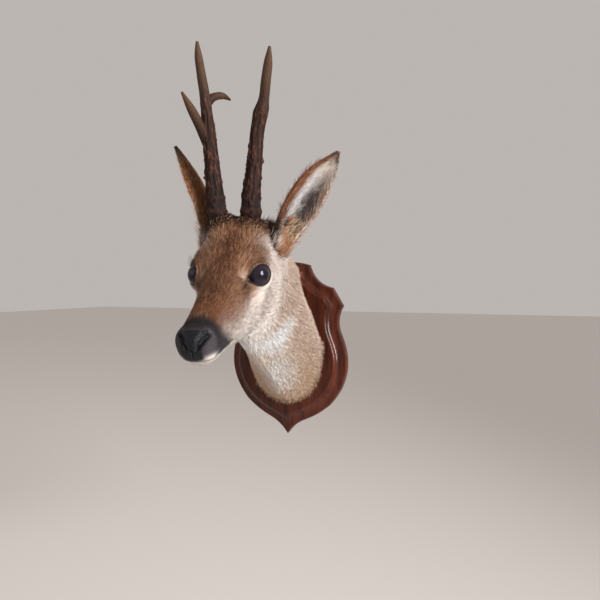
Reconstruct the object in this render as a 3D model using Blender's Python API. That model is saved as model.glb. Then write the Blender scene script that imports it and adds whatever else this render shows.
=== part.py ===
"""Roe buck shoulder mount on a moulded wooden shield, life size.

Metres, +Z up. The origin is the middle of the shield's flat back, which lies against the wall in
the plane Y = 0, and the animal looks along -Y into the room, turned a little to its own left (+X).

The neck and head are one tube of oval sections. It is drawn straight first, in a side view with
q running forward from the wall and z up, and is then bent sideways as a whole. Thin cuts part it
into named pieces. Antlers and ears are tubes of their own, trimmed where they meet the head.
"""

import math

import bmesh
import bpy
import numpy as np

GAP = 0.0003  # left between pieces that touch

# The shield
BOARD_HEIGHT = 0.290
BOARD_THICKNESS = 0.0236
MOULDING_WIDTH = 0.021
HANGER_LENGTH, HANGER_HEIGHT, HANGER_THICKNESS = 0.044, 0.009, 0.0012
HANGER_LEVEL = 0.078
POCKET_DEPTH, POCKET_MARGIN = 0.0025, 0.006

# How the head is held
NOSE_REACH = 0.4235  # from the wall to the tip of the nose, along the bent neck
NOSE_HEIGHT = 0.050  # above the middle of the shield
HEAD_PITCH = math.radians(17.3)
BASE_YAW, HEAD_YAW = math.radians(7.5), math.radians(13.1)
YAW_FROM, YAW_TO = 0.03, 0.19  # the stretch of neck over which the yaw grows
NECK_SWAY, NECK_SWAY_END = 0.010, 0.26  # how far the middle of the neck bows to the left

EYE_RADIUS = 0.0135
EYE_BACK, EYE_UP, EYE_OUT = 0.1155, 0.0335, 0.0285  # centre, behind, above and beside the nose tip

RING_SEGMENTS = 30

COLOURS = {
    "board": (0.085, 0.022, 0.012),
    "hanger": (0.55, 0.50, 0.40),
    "coat": (0.40, 0.24, 0.13),
    "nose": (0.018, 0.018, 0.022),
    "ear": (0.20, 0.09, 0.045),
    "eye": (0.010, 0.008, 0.010),
    "antler": (0.085, 0.045, 0.026),
    "antler_tip": (0.30, 0.22, 0.14),
}


def clear_scene():
    for item in list(bpy.data.objects):
        bpy.data.objects.remove(item, do_unlink=True)


def material(name, roughness=0.6, metallic=0.0):
    """One Principled material for each kind of surface."""
    if name in bpy.data.materials:
        return bpy.data.materials[name]
    made = bpy.data.materials.new(name)
    made.use_nodes = True
    shader = made.node_tree.nodes["Principled BSDF"]
    shader.inputs["Base Color"].default_value = (*COLOURS[name], 1.0)
    shader.inputs["Roughness"].default_value = roughness
    shader.inputs["Metallic"].default_value = metallic
    return made


def add_object(name, points, faces, finish, shown=True):
    """A mesh object from points and faces, with its normals turned outwards."""
    mesh = bpy.data.meshes.new(name)
    mesh.from_pydata([tuple(map(float, p)) for p in points], [], faces)
    work = bmesh.new()
    work.from_mesh(mesh)
    bmesh.ops.remove_doubles(work, verts=work.verts, dist=1e-6)
    bmesh.ops.triangulate(work, faces=[f for f in work.faces if len(f.verts) > 4])
    bmesh.ops.recalc_face_normals(work, faces=work.faces)
    work.to_mesh(mesh)
    work.free()
    mesh.shade_smooth()
    mesh.set_sharp_from_angle(angle=math.radians(40))
    mesh.materials.append(finish)
    made = bpy.data.objects.new(name, mesh)
    bpy.context.scene.collection.objects.link(made)
    if not shown:
        made.hide_render = True
        made.display_type = "WIRE"
    return made


def cut_with(target, cutter):
    """Takes the cutter's volume away from the target."""
    cut = target.modifiers.new("Cut_" + cutter.name, "BOOLEAN")
    cut.operation = "DIFFERENCE"
    cut.solver = "EXACT"
    cut.object = cutter


def curve_through(knots, values, at):
    """A smooth curve through the values at the knots: a cubic Hermite on each span, whose slope at
    a knot is the slope between its two neighbours."""
    knots, values = np.asarray(knots, float), np.asarray(values, float)
    shape = (-1,) + (1,) * (values.ndim - 1)
    slopes = np.gradient(values, knots, axis=0)
    span = np.clip(np.searchsorted(knots, at, side="right") - 1, 0, len(knots) - 2)
    width = (knots[span + 1] - knots[span]).reshape(shape)
    u = (np.asarray(at) - knots[span]).reshape(shape) / width
    return (
        (2 * u**3 - 3 * u**2 + 1) * values[span]
        + (u**3 - 2 * u**2 + u) * width * slopes[span]
        + (3 * u**2 - 2 * u**3) * values[span + 1]
        + (u**3 - u**2) * width * slopes[span + 1]
    )


def smooth_step(x, low, high):
    """0 below low, 1 above high, and an S between them."""
    u = np.clip((x - low) / (high - low), 0.0, 1.0)
    return u * u * (3 - 2 * u)


def tube_faces(rings, segments, first_pole, last_pole):
    """Quads between neighbouring rings, and a fan at each end to a pole point."""
    faces = []
    for ring in range(rings - 1):
        for k in range(segments):
            j = (k + 1) % segments
            low, high = ring * segments, (ring + 1) * segments
            faces.append((low + k, low + j, high + j, high + k))
    last = (rings - 1) * segments
    for k in range(segments):
        j = (k + 1) % segments
        faces.append((first_pole, j, k))
        faces.append((last_pole, last + k, last + j))
    return faces


# ---------------------------------------------------------------- the shield


def arc(start, end, bulge, steps):
    """Points from start up to, and not including, end, on an arc that stands out by bulge to the
    left of the way it goes. A bulge of 0 is a straight line."""
    start, end = np.array(start), np.array(end)
    along = end - start
    chord = np.hypot(*along)
    side = np.array([-along[1], along[0]]) / chord
    u = np.arange(steps) / steps
    return start + u[:, None] * along + (4 * bulge * u * (1 - u))[:, None] * side


def shield_outline():
    """The outline in X and Z, clockwise from the top of the crest as seen from the room: a low
    crest, a cove, a chamfered shoulder, a waist, a belly and an ogee to the point."""
    top, point = BOARD_HEIGHT / 2, -BOARD_HEIGHT / 2
    crest_end, shoulder_top = (0.038, top - 0.0055), (0.078, 0.102)
    shoulder_low, waist_end = (0.0957, 0.0725), (0.0925, 0.025)
    belly_end, ogee_turn = (0.0742, -0.0906), (0.030, -0.119)
    right = np.concatenate(
        [
            arc((0.0, top), crest_end, 0.0018, 3),
            arc(crest_end, shoulder_top, -0.0085, 5),
            arc(shoulder_top, shoulder_low, 0.0, 1),
            arc(shoulder_low, waist_end, -0.006, 5),
            arc(waist_end, belly_end, 0.0185, 9),
            arc(belly_end, ogee_turn, 0.0022, 4),
            arc(ogee_turn, (0.0, point), -0.0028, 4),
        ]
    )
    left = right[1:][::-1] * (-1, 1)
    return np.concatenate([right, [(0.0, point)], left])


def inset(outline, distance):
    """Each point moves inwards along the line that halves its corner, so that every side moves by
    the same distance."""
    before, after = np.roll(outline, 1, axis=0), np.roll(outline, -1, axis=0)

    def inward(a, b):
        along = b - a
        return np.stack([along[:, 1], -along[:, 0]], 1) / np.hypot(*along.T)[:, None]

    one, two = inward(before, outline), inward(outline, after)
    halving = one + two
    return outline + distance * halving / (1 + (one * two).sum(1))[:, None]


def moulding_profile():
    """(inset, depth from the wall) from the back edge to the flat front: an upright edge, a round
    nose, a cove, a small step and a rounded lip."""
    width, depth = MOULDING_WIDTH, BOARD_THICKNESS
    edge, cove_top = 0.0105, 0.0195
    rows = [(0.0, 0.0), (0.0, edge), (0.0012, edge + 0.0018), (0.0035, edge + 0.0024)]
    for turn in np.radians([30, 60, 90]):
        across = 0.0035 + (width - 0.0075) * math.sin(turn)
        rows.append((across, cove_top - (cove_top - edge - 0.0024) * math.cos(turn)))
    rows += [(width - 0.0035, depth - 0.0018), (width - 0.0018, depth - 0.0004), (width, depth)]
    return rows


def build_shield():
    outline = shield_outline()
    count = len(outline)
    rings = []
    for across, depth in moulding_profile():
        flat = inset(outline, across)
        rings.append(np.column_stack([flat[:, 0], np.full(count, -depth), flat[:, 1]]))
    points = list(np.concatenate(rings))
    points += [(0.0, 0.0, 0.0), (0.0, -BOARD_THICKNESS, 0.0)]
    faces = tube_faces(len(rings), count, len(points) - 2, len(points) - 1)
    board = add_object("shield_board", points, faces, material("board", 0.25))
    cut_with(board, build_hanger_pocket())
    return board


def stadium(length, height, steps=6):
    """A bar with half-round ends, in X and Z, round its own middle."""
    radius, half = height / 2, length / 2 - height / 2
    turn = np.linspace(-math.pi / 2, math.pi / 2, steps + 1)
    right = np.column_stack([half + radius * np.cos(turn), radius * np.sin(turn)])
    return np.concatenate([right, -right])


def prism(name, flat, level, near, far, finish, shown=True):
    """A flat outline drawn out along Y, from near to far."""
    count = len(flat)
    rings = [np.column_stack([flat[:, 0], np.full(count, y), flat[:, 1] + level]) for y in (near, far)]
    points = list(np.concatenate(rings)) + [(0.0, near, level), (0.0, far, level)]
    return add_object(name, points, tube_faces(2, count, 2 * count, 2 * count + 1), finish, shown)


def build_hanger_pocket():
    flat = stadium(HANGER_LENGTH + POCKET_MARGIN, HANGER_HEIGHT + POCKET_MARGIN)
    return prism(
        "hanger_pocket", flat, HANGER_LEVEL, -POCKET_DEPTH, 0.01, material("board", 0.25), shown=False
    )


def build_hanger():
    """A steel sawtooth strip, let into the back so that the shield lies flat on the wall."""
    half, low, high = HANGER_LENGTH / 2, -HANGER_HEIGHT / 2, HANGER_HEIGHT / 2
    teeth, reach, depth = 9, 0.013, 0.0014
    xs = np.linspace(-reach, reach, 2 * teeth + 1)
    zs = np.where(np.arange(2 * teeth + 1) % 2 == 1, low + depth, low)
    lower = np.column_stack([xs, zs])
    flat = np.concatenate([[(-half, low + 0.002)], lower, [(half, low + 0.002), (half, high), (-half, high)]])
    front = -POCKET_DEPTH + GAP + HANGER_THICKNESS
    return prism(
        "hanger", flat, HANGER_LEVEL, front - HANGER_THICKNESS, front, material("hanger", 0.35, 1.0)
    )


# ---------------------------------------------------------------- neck and head


def from_head(back, up):
    """(q, z) in the straight side view of a point so far behind the nose tip and above it, along
    and across the line of the mouth."""
    c, s = math.cos(HEAD_PITCH), math.sin(HEAD_PITCH)
    return NOSE_REACH - back * c + up * s, NOSE_HEIGHT + back * s + up * c


# Each row of the neck: where the nape is, where the throat is (q, z), half width, how far up the
# section is widest, and how full the upper and lower halves are (2 is an ellipse).
NECK_STATIONS = {
    "in_the_board": ((0.000, 0.110), (0.000, -0.0900), 0.063, 0.44, 1.30, 2.2),
    "board_face": ((0.030, 0.111), (0.030, -0.0840), 0.0620, 0.44, 1.30, 2.2),
    "lower_neck": ((0.085, 0.122), (0.098, -0.0510), 0.0565, 0.48, 1.5, 1.7),
    "middle_neck": ((0.137, 0.136), (0.158, -0.0180), 0.0525, 0.50, 1.6, 1.45),
    "upper_neck": ((0.188, 0.151), (0.207, 0.0110), 0.0495, 0.52, 2.5, 1.4),
    "throat": ((0.225, 0.162), (0.237, 0.0330), 0.0465, 0.56, 2.2, 1.5),
}
# Each row of the head: its top and its bottom, as how far behind the nose tip and how high above the
# line of the mouth, then half width, the height where it is widest, and the two fullnesses.
HEAD_STATIONS = {
    "poll": ((0.190, 0.0680), (0.162, -0.0550), 0.0440, 0.020, 2.1, 1.8),
    "crown": ((0.172, 0.0745), (0.151, -0.0500), 0.0425, 0.022, 2.2, 1.8),
    "jaw_angle": ((0.155, 0.0735), (0.140, -0.0465), 0.0410, 0.024, 2.2, 1.8),
    "behind_eyes": ((0.139, 0.0690), (0.128, -0.0435), 0.0380, 0.026, 2.3, 1.8),
    "eyes": ((0.1225, 0.0612), (0.116, -0.0400), 0.0345, 0.025, 2.4, 1.8),
    "cheek": ((0.104, 0.0520), (0.101, -0.0360), 0.0300, 0.014, 2.2, 1.9),
    "mid_face": ((0.084, 0.0440), (0.083, -0.0310), 0.0252, 0.007, 2.1, 2.0),
    "mouth_corner": ((0.062, 0.0365), (0.062, -0.0260), 0.0215, 0.003, 2.1, 2.1),
    "lips": ((0.040, 0.0300), (0.040, -0.0225), 0.0190, 0.001, 2.2, 2.2),
    "nostrils": ((0.018, 0.0235), (0.018, -0.0195), 0.0168, 0.002, 2.3, 2.3),
    "nose_front": ((0.000, 0.0195), (0.000, -0.0150), 0.0152, 0.003, 2.3, 2.3),
}
NOSE_ROUNDING = 0.013  # how far back the blunt front of the nose starts to round off
LAST_STATION = len(NECK_STATIONS) + len(HEAD_STATIONS) - 1


def station_rows():
    """All the stations in one form: top (q, z), bottom (q, z), half width, the share of the height
    where it is widest, and upper and lower fullness."""
    rows = [(*top, *low, half, level, a, b) for top, low, half, level, a, b in NECK_STATIONS.values()]
    for top, low, half, widest, a, b in HEAD_STATIONS.values():
        level = (widest - low[1]) / (top[1] - low[1])
        rows.append((*from_head(*top), *from_head(*low), half, level, a, b))
    return np.array(rows)


STATION_ROWS = station_rows()


def bent(q, side, z):
    """The straight model bent sideways: its middle plane turns from BASE_YAW to HEAD_YAW."""
    steps = np.linspace(0.0, 0.5, 501)
    yaws = BASE_YAW + (HEAD_YAW - BASE_YAW) * smooth_step(steps, YAW_FROM, YAW_TO)
    width = steps[1] - steps[0]
    xs = np.concatenate([[0.0], np.cumsum(np.sin((yaws[1:] + yaws[:-1]) / 2)) * width])
    ys = np.concatenate([[0.0], np.cumsum(-np.cos((yaws[1:] + yaws[:-1]) / 2)) * width])
    yaw = np.interp(q, steps, yaws)
    sway = NECK_SWAY * np.sin(math.pi * np.clip(q / NECK_SWAY_END, 0.0, 1.0)) ** 2
    x = np.interp(q, steps, xs) + sway + side * np.cos(yaw)
    y = np.interp(q, steps, ys) + side * np.sin(yaw)
    return np.stack([x, y, z], -1)


def placed(back, up, side):
    """A point of the head, in the row frame, from how far it is behind, above and beside the tip
    of the nose. Side is + on the animal's left."""
    q, z = from_head(np.asarray(back, float), np.asarray(up, float))
    return bent(q, np.asarray(side, float), z)


def swell(straight, bumps):
    """How far the skin is raised at each point: a sum of soft round bumps, each mirrored to both
    sides, given by place (back, up, side), reach along each and height."""
    c, s = math.cos(HEAD_PITCH), math.sin(HEAD_PITCH)
    forward, rise = straight[..., 0] - NOSE_REACH, straight[..., 2] - NOSE_HEIGHT
    back, up = -forward * c + rise * s, forward * s + rise * c
    side = np.abs(straight[..., 1])
    total = np.zeros(back.shape)
    for (b, u, w), (reach_b, reach_u, reach_w), height in bumps.values():
        far = ((back - b) / reach_b) ** 2 + ((up - u) / reach_u) ** 2 + ((side - w) / reach_w) ** 2
        total += height * np.exp(-far)
    return total


BUMPS = {
    "brow": ((0.132, 0.050, 0.034), (0.020, 0.011, 0.014), 0.0050),
    "eye_socket": ((0.120, 0.033, 0.036), (0.018, 0.016, 0.016), 0.0048),
    "tear_hollow": ((0.096, 0.020, 0.030), (0.012, 0.012, 0.012), -0.0022),
    "cheekbone": ((0.118, 0.008, 0.034), (0.026, 0.008, 0.014), 0.0018),
    "jaw_muscle": ((0.146, -0.016, 0.032), (0.022, 0.022, 0.020), 0.0035),
    "nostril_wing": ((0.010, 0.008, 0.018), (0.010, 0.009, 0.009), 0.0022),
    "chin_notch": ((0.002, -0.016, 0.000), (0.009, 0.008, 0.030), -0.0040),
    "pedicle": ((0.160, 0.080, 0.019), (0.015, 0.030, 0.013), 0.0090),
    "crest": ((0.164, 0.074, 0.000), (0.020, 0.040, 0.030), 0.0065),
    "ear_base": ((0.190, 0.045, 0.042), (0.020, 0.018, 0.024), 0.0130),
    "nape_fold": ((0.236, 0.006, 0.046), (0.018, 0.018, 0.018), 0.0060),
    "board_fold": ((0.374, -0.160, 0.058), (0.012, 0.010, 0.012), 0.0040),
}


def body_rings(at, segments=RING_SEGMENTS, grow=0.0):
    """Rings of the neck and head at station numbers "at". Upper and lower halves of a section are
    super-ellipses that meet where it is widest: side = half width * |sin|^(2/n) and height =
    |cos|^(2/n). Soft bumps then raise the skin along its normal, by "grow" more all over."""
    at = np.asarray(at, float)
    row = curve_through(np.arange(len(STATION_ROWS)), STATION_ROWS, at)
    nape_q, nape_z, low_q, low_z, half, level, upper, lower = (c[:, None] for c in row.T)
    turn = 2 * math.pi * np.arange(segments)[None, :] / segments
    power = 2 / np.where(np.cos(turn) >= 0, upper, lower)
    across = np.sign(np.sin(turn)) * np.abs(np.sin(turn)) ** power
    rise = np.sign(np.cos(turn)) * np.abs(np.cos(turn)) ** power
    height = level + np.where(rise >= 0, (1 - level) * rise, level * rise)
    back = (LAST_STATION - at)[:, None] * HEAD_STATIONS["nostrils"][0][0]
    blunt = np.clip(1 - back / NOSE_ROUNDING, 0.0, 1.0)
    taper = np.sqrt(1 - 0.62 * blunt**2)
    middle = level + 0.02
    height = middle + (height - middle) * taper
    side = half * across * taper
    q = low_q + height * (nape_q - low_q)
    z = low_z + height * (nape_z - low_z)
    straight = np.stack([q, side, z], -1)
    along = np.gradient(straight, axis=0)
    round_it = np.roll(straight, -1, axis=1) - np.roll(straight, 1, axis=1)
    normal = np.cross(along, round_it)
    normal /= np.maximum(np.linalg.norm(normal, axis=-1, keepdims=True), 1e-12)
    outwards = np.sign((normal * (straight - straight.mean(1, keepdims=True))).sum(-1).mean())
    lift = swell(straight, BUMPS) + grow
    straight = straight + outwards * normal * lift[..., None]
    return bent(straight[..., 0], straight[..., 1], straight[..., 2])


def closed_tube(name, rings, finish, shown=True):
    """A closed object from rings of equal count, with a fan at each end."""
    count, segments = rings.shape[:2]
    points = list(rings.reshape(-1, 3)) + [rings[0].mean(0), rings[-1].mean(0)]
    faces = tube_faces(count, segments, count * segments, count * segments + 1)
    return add_object(name, points, faces, finish, shown)


def drawn_back(rings):
    """The same rings with the last one moved back by the gap, to clear the next length."""
    step = rings[-1].mean(0) - rings[-2].mean(0)
    return np.concatenate([rings[:-1], rings[-1:] - GAP * step / np.linalg.norm(step)])


# Name of each length of the body, the station where it ends, how many rings it adds, and its finish
BODY_START = 0.4
LENGTHS = (
    ("neck_lower", 2.6, 8, "coat"),
    ("neck_upper", 5.3, 12, "coat"),
    ("head", 12.6, 23, "coat"),
    ("muzzle", 15.55, 11, "coat"),
    ("nose_pad", LAST_STATION, 8, "nose"),
)


def body_lengths(grow=0.0):
    """The rings of each length. Neighbours share the ring at the cut between them."""
    at, firsts = [BODY_START], []
    for _, end, added, _ in LENGTHS:
        firsts.append(len(at) - 1)
        at += list(np.linspace(at[-1], end, added + 1)[1:])
    rings = body_rings(at, grow=grow)
    lasts = firsts[1:] + [len(at) - 1]
    return {row[0]: rings[first : last + 1] for row, first, last in zip(LENGTHS, firsts, lasts)}


def skin_cutter(name):
    """The upper neck and the head as one cutter, standing off the skin by twice the gap."""
    lengths = body_lengths(grow=2 * GAP)
    rings = np.concatenate([lengths["neck_upper"], lengths["head"][1:]])
    return closed_tube(name, rings, material("coat"), False)


def build_body():
    """The neck and head in lengths, parted by thin cuts. Eye sockets are cut out of the head, and
    the lowest length is cut flat where it stands on the shield."""
    lengths, built = body_lengths(), {}
    for name, _, _, finish in LENGTHS:
        rings = lengths[name] if name == "nose_pad" else drawn_back(lengths[name])
        built[name] = closed_tube(name, rings, material(finish, 0.8))
    wall_side = np.array([(-0.2, -0.2), (0.2, -0.2), (0.2, 0.2), (-0.2, 0.2)])
    board_front = -(BOARD_THICKNESS + GAP)
    cutter = prism("board_side", wall_side, 0.0, board_front, 0.1, material("board", 0.25), False)
    cut_with(built["neck_lower"], cutter)
    for side, sign in (("left", 1), ("right", -1)):
        socket = ball("socket_" + side, eye_centre(sign), EYE_RADIUS + 2 * GAP, "eye", False)
        cut_with(built["head"], socket)


# ---------------------------------------------------------------- eyes


def eye_centre(sign):
    return placed(EYE_BACK, EYE_UP, sign * EYE_OUT)


def ball(name, centre, radius, finish, shown=True, segments=16, rows=10):
    """A sphere of rings round the Z axis."""
    tilt = np.linspace(0.0, math.pi, rows + 1)[1:-1, None]
    turn = 2 * math.pi * np.arange(segments) / segments
    flat = np.sin(tilt) * np.ones(segments)
    rings = np.stack([flat * np.cos(turn), flat * np.sin(turn), np.cos(tilt) * np.ones(segments)], -1)
    points = list(centre + radius * rings.reshape(-1, 3))
    points += [centre + (0, 0, radius), centre - (0, 0, radius)]
    count = len(tilt)
    faces = tube_faces(count, segments, count * segments, count * segments + 1)
    return add_object(name, points, faces, material(finish, 0.05), shown)


def build_eyes():
    for side, sign in (("left", 1), ("right", -1)):
        ball("eye_" + side, eye_centre(sign), EYE_RADIUS, "eye")


# ---------------------------------------------------------------- antlers

# Each row of a stem or a tine: how far it is behind, above and beside the nose tip (outwards, on the
# antler's own side), and its radius. A stem is parted at its forks, given as shares of its length.
STEMS = {
    "antler_right": (
        (0.163, 0.066, 0.0215, 0.0104),
        (0.166, 0.092, 0.0225, 0.0102),
        (0.175, 0.144, 0.0255, 0.0074),
        (0.179, 0.170, 0.0268, 0.0068),
        (0.180, 0.190, 0.0273, 0.0057),
        (0.180, 0.206, 0.0276, 0.0052),
        (0.179, 0.226, 0.0288, 0.0046),
        (0.176, 0.243, 0.0288, 0.0036),
        (0.174, 0.254, 0.0280, 0.0013),
    ),
    "antler_left": (
        (0.163, 0.066, 0.0145, 0.0104),
        (0.166, 0.092, 0.0155, 0.0102),
        (0.174, 0.135, 0.0202, 0.0080),
        (0.179, 0.175, 0.0267, 0.0070),
        (0.180, 0.187, 0.0299, 0.0074),
        (0.180, 0.197, 0.0333, 0.0056),
        (0.179, 0.2165, 0.0373, 0.0050),
        (0.177, 0.233, 0.0411, 0.0041),
        (0.174, 0.2452, 0.0438, 0.0013),
    ),
}
FORKS = (0.58, 0.75)
TINES = {
    "antler_right_front_tine": (
        (0.178, 0.159, 0.0285, 0.0060),
        (0.173, 0.177, 0.0340, 0.0052),
        (0.165, 0.1935, 0.0388, 0.0042),
        (0.156, 0.2076, 0.0427, 0.0012),
    ),
    "antler_right_rear_tine": (
        (0.179, 0.197, 0.0276, 0.0050),
        (0.188, 0.2045, 0.0205, 0.0040),
        (0.197, 0.2058, 0.0132, 0.0032),
        (0.204, 0.2024, 0.0076, 0.0011),
    ),
}
STEM_RINGS, TINE_RINGS, ANTLER_SEGMENTS = 22, 8, 12


def pipe_rings(rows, sign, count, grow=0.0):
    """Circles carried along a smooth path. Each ring's axes are the last ring's, turned as little
    as the path turns, so that the pipe has no twist."""
    back, up, out, radii = np.array(rows).T
    path = placed(back, up, sign * out)
    knots = np.concatenate([[0.0], np.cumsum(np.linalg.norm(np.diff(path, axis=0), axis=1))])
    at = np.linspace(0.0, knots[-1], count)
    line = curve_through(knots, path, at)
    radius = curve_through(knots, radii, at) + grow
    ahead = np.gradient(line, axis=0)
    ahead /= np.linalg.norm(ahead, axis=1, keepdims=True)
    side = np.cross(ahead[0], (0.0, 1.0, 0.0))
    turn = 2 * math.pi * np.arange(ANTLER_SEGMENTS) / ANTLER_SEGMENTS
    rings = []
    for centre, forward, size in zip(line, ahead, radius):
        side = side - forward * (side @ forward)
        side /= np.linalg.norm(side)
        other = np.cross(forward, side)
        rings.append(centre + size * (np.cos(turn)[:, None] * side + np.sin(turn)[:, None] * other))
    return np.array(rings)


def build_antlers():
    """Stems parted at their forks and trimmed by the skin round their feet, then the tines, each
    trimmed by the stem that it grows from."""
    head_shape = skin_cutter("antler_foot_shape")
    forks = [round(share * STEM_RINGS) for share in FORKS]
    for name, rows in STEMS.items():
        rings = pipe_rings(rows, antler_side(name), STEM_RINGS)
        lengths = {
            "beam": rings[: forks[0] + 1],
            "middle": rings[forks[0] : forks[1] + 1],
            "tip": rings[forks[1] :],
        }
        for part, length in lengths.items():
            finish = "antler_tip" if part == "tip" else "antler"
            above_cut = length if part == "tip" else drawn_back(length)
            closed_tube(f"{name}_{part}", above_cut, material(finish, 0.45))
        cut_with(bpy.data.objects[f"{name}_beam"], head_shape)
    for name, rows in TINES.items():
        tine = closed_tube(
            name, pipe_rings(rows, antler_side(name), TINE_RINGS), material("antler_tip", 0.45)
        )
        stem = "_".join(name.split("_")[:2])
        shape = pipe_rings(STEMS[stem], antler_side(name), STEM_RINGS, grow=1.5 * GAP)
        cut_with(tine, closed_tube(name + "_root_shape", shape, material("antler"), False))


def antler_side(name):
    return -1 if "right" in name else 1


# ---------------------------------------------------------------- ears

# Root and tip, (back, up, side) of the nose tip, and the way the cup opens, along the same axes
EARS = {
    "ear_left": ((0.180, 0.049, 0.030), (0.209, 0.1450, 0.1050), (-0.58, -0.08, 0.81)),
    "ear_right": ((0.180, 0.050, -0.024), (0.214, 0.1575, -0.0765), (-0.05, 0.05, -0.99)),
}
EAR_HALF_WIDTHS = [0.0120, 0.0175, 0.0240, 0.0272, 0.0242, 0.0168, 0.0038]
EAR_WRAPS = np.radians([140, 92, 66, 56, 52, 50, 48])  # how far each edge curls round the cup
EAR_THICKNESS = 0.0042  # at the spine; it thins to an eighth of that at the edges
EAR_EDGE_TURN = math.radians(83)
EAR_LEAN = 0.010  # how far the middle of the ear stands off the straight line, away from its opening


def direction(back, up, side):
    """A unit vector of the head's own axes, in the row frame."""
    start = placed(0.15, 0.0, 0.0)
    vector = placed(0.15 + 0.01 * back, 0.01 * up, 0.01 * side) - start
    return vector / np.linalg.norm(vector)


def ear_rings(root, tip, opening, count=11, segments=11):
    """A leaf curled into a cup. A section is a thin crescent: an outer arc from edge to edge and an
    inner arc back, with the spine of the ear at the middle of the outer one."""
    root, tip = placed(*root), placed(*tip)
    axis = (tip - root) / np.linalg.norm(tip - root)
    open_way = direction(*opening)
    open_way = open_way - axis * (open_way @ axis)
    open_way /= np.linalg.norm(open_way)
    across = np.cross(axis, open_way)
    share = np.linspace(0.0, 1.0, count) ** 1.2  # closer together at the root, where it curls most
    knots = np.linspace(0.0, 1.0, len(EAR_HALF_WIDTHS))
    half = curve_through(knots, EAR_HALF_WIDTHS, share)
    wrap = curve_through(knots, EAR_WRAPS, share)
    radius = half / np.sin(np.minimum(wrap, math.pi / 2))
    thickness = np.minimum(EAR_THICKNESS, radius * 0.55)
    rings = []
    for u, r, phi, thick in zip(share, radius, wrap, thickness):
        centre = root + u * (tip - root) + open_way * (r - EAR_LEAN * math.sin(math.pi * u))
        angles = np.linspace(-phi, phi, segments)
        around = np.outer(np.sin(angles), across) - np.outer(np.cos(angles), open_way)
        inner_radius = r - thick * np.cos(angles / phi * EAR_EDGE_TURN)
        inner = centre + inner_radius[:, None] * around
        rings.append(np.concatenate([centre + r * around, inner[::-1]]))
    return np.array(rings)


def crescent_tube(name, rings, finish):
    """A closed object from crescent rings, in triangles because the curl twists the squares
    between them. Its ends are closed by a strip from the outer arc to the inner one."""
    count, around = rings.shape[:2]
    faces = []
    for ring in range(count - 1):
        for k in range(around):
            j = (k + 1) % around
            low, high = ring * around, (ring + 1) * around
            faces += [(low + k, low + j, high + j), (low + k, high + j, high + k)]
    last = (count - 1) * around
    for k in range(around // 2 - 1):
        pair = (k, around - 1 - k, around - 2 - k, k + 1)
        faces.append(pair)
        faces.append(tuple(last + n for n in reversed(pair)))
    return add_object(name, rings.reshape(-1, 3), faces, finish)


def build_ears():
    shape = skin_cutter("ear_root_shape")
    for name, (root, tip, opening) in EARS.items():
        made = crescent_tube(name, ear_rings(root, tip, opening), material("ear", 0.85))
        cut_with(made, shape)


clear_scene()
build_shield()
build_hanger()
build_body()
build_eyes()
build_antlers()
build_ears()
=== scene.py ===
# %% [markdown]
# # A roe buck shoulder mount
# The solids of the mount are loaded first: shield, neck, head, ears, eyes and antlers, in one frame
# whose origin is the middle of the shield's back. Everything below is made round them. One skin
# takes the place of the parted flesh, the coat is sown on it as small solid tufts, and the eyes,
# the antlers and the shield get their own fine surfaces.

# %% Load the solids
import math

import bpy
import numpy as np
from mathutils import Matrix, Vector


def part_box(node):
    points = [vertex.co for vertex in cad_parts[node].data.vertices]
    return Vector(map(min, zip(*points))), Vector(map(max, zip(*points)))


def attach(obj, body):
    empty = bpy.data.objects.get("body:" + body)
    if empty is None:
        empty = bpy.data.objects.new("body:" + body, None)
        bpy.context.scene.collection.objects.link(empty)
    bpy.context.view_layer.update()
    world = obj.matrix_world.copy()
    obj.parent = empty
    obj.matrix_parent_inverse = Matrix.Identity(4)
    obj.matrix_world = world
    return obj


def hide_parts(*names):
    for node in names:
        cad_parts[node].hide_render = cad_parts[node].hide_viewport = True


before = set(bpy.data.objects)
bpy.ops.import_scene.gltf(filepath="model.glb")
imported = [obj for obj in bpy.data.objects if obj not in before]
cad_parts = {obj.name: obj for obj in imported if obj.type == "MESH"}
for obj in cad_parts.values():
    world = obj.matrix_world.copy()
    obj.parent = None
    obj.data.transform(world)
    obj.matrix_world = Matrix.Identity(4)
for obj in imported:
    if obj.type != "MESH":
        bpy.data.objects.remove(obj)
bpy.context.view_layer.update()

print("solids:", ", ".join(sorted(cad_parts)))

# %% [markdown]
# ## Camera, floor and light
# The mount hangs on a wall and is looked at from its own left, a little from above, from about
# three quarters of a metre away. The room is left out: a pale floor lies below, and the pale air
# round it gives most of the light. One large soft window on the right lights the left cheek and
# draws the thin bright lines on the varnish, and a weak one on the left opens the shadows.

# %% Camera
VIEW_TURN, VIEW_DROP = math.radians(20.92), math.radians(1.74)
VIEW_FROM, VIEW_LENS = (0.2946, -0.7227, 0.1047), 27.51


def make_camera():
    """The viewing camera: turned by VIEW_TURN to its left and tipped down by VIEW_DROP."""
    lens = bpy.data.cameras.new("view")
    lens.sensor_width, lens.lens = 36.0, VIEW_LENS
    lens.clip_start = 0.01
    camera = bpy.data.objects.new("view", lens)
    camera.location = VIEW_FROM
    camera.rotation_euler = (math.pi / 2 - VIEW_DROP, 0.0, VIEW_TURN)
    bpy.context.scene.collection.objects.link(camera)
    bpy.context.scene.camera = camera


make_camera()

# %% Light
PALE_AIR, AIR_STRENGTH = (0.50, 0.465, 0.445, 1.0), 1.0
FLOOR_LEVEL, FLOOR_REACH = -0.62, 12.0
LAMP_SPREAD = math.radians(64)
WINDOWS = {
    "window_right": ((2.85, -1.30, 0.74), (0.05, -0.2, 0.06), 1.0, 1.9, 25.0, (1.0, 0.975, 0.96)),
    "window_left": ((-1.3, -1.5, 0.5), (0.0, -0.2, 0.08), 1.2, 1.2, 0.5, (0.95, 0.97, 1.0)),
}


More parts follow.
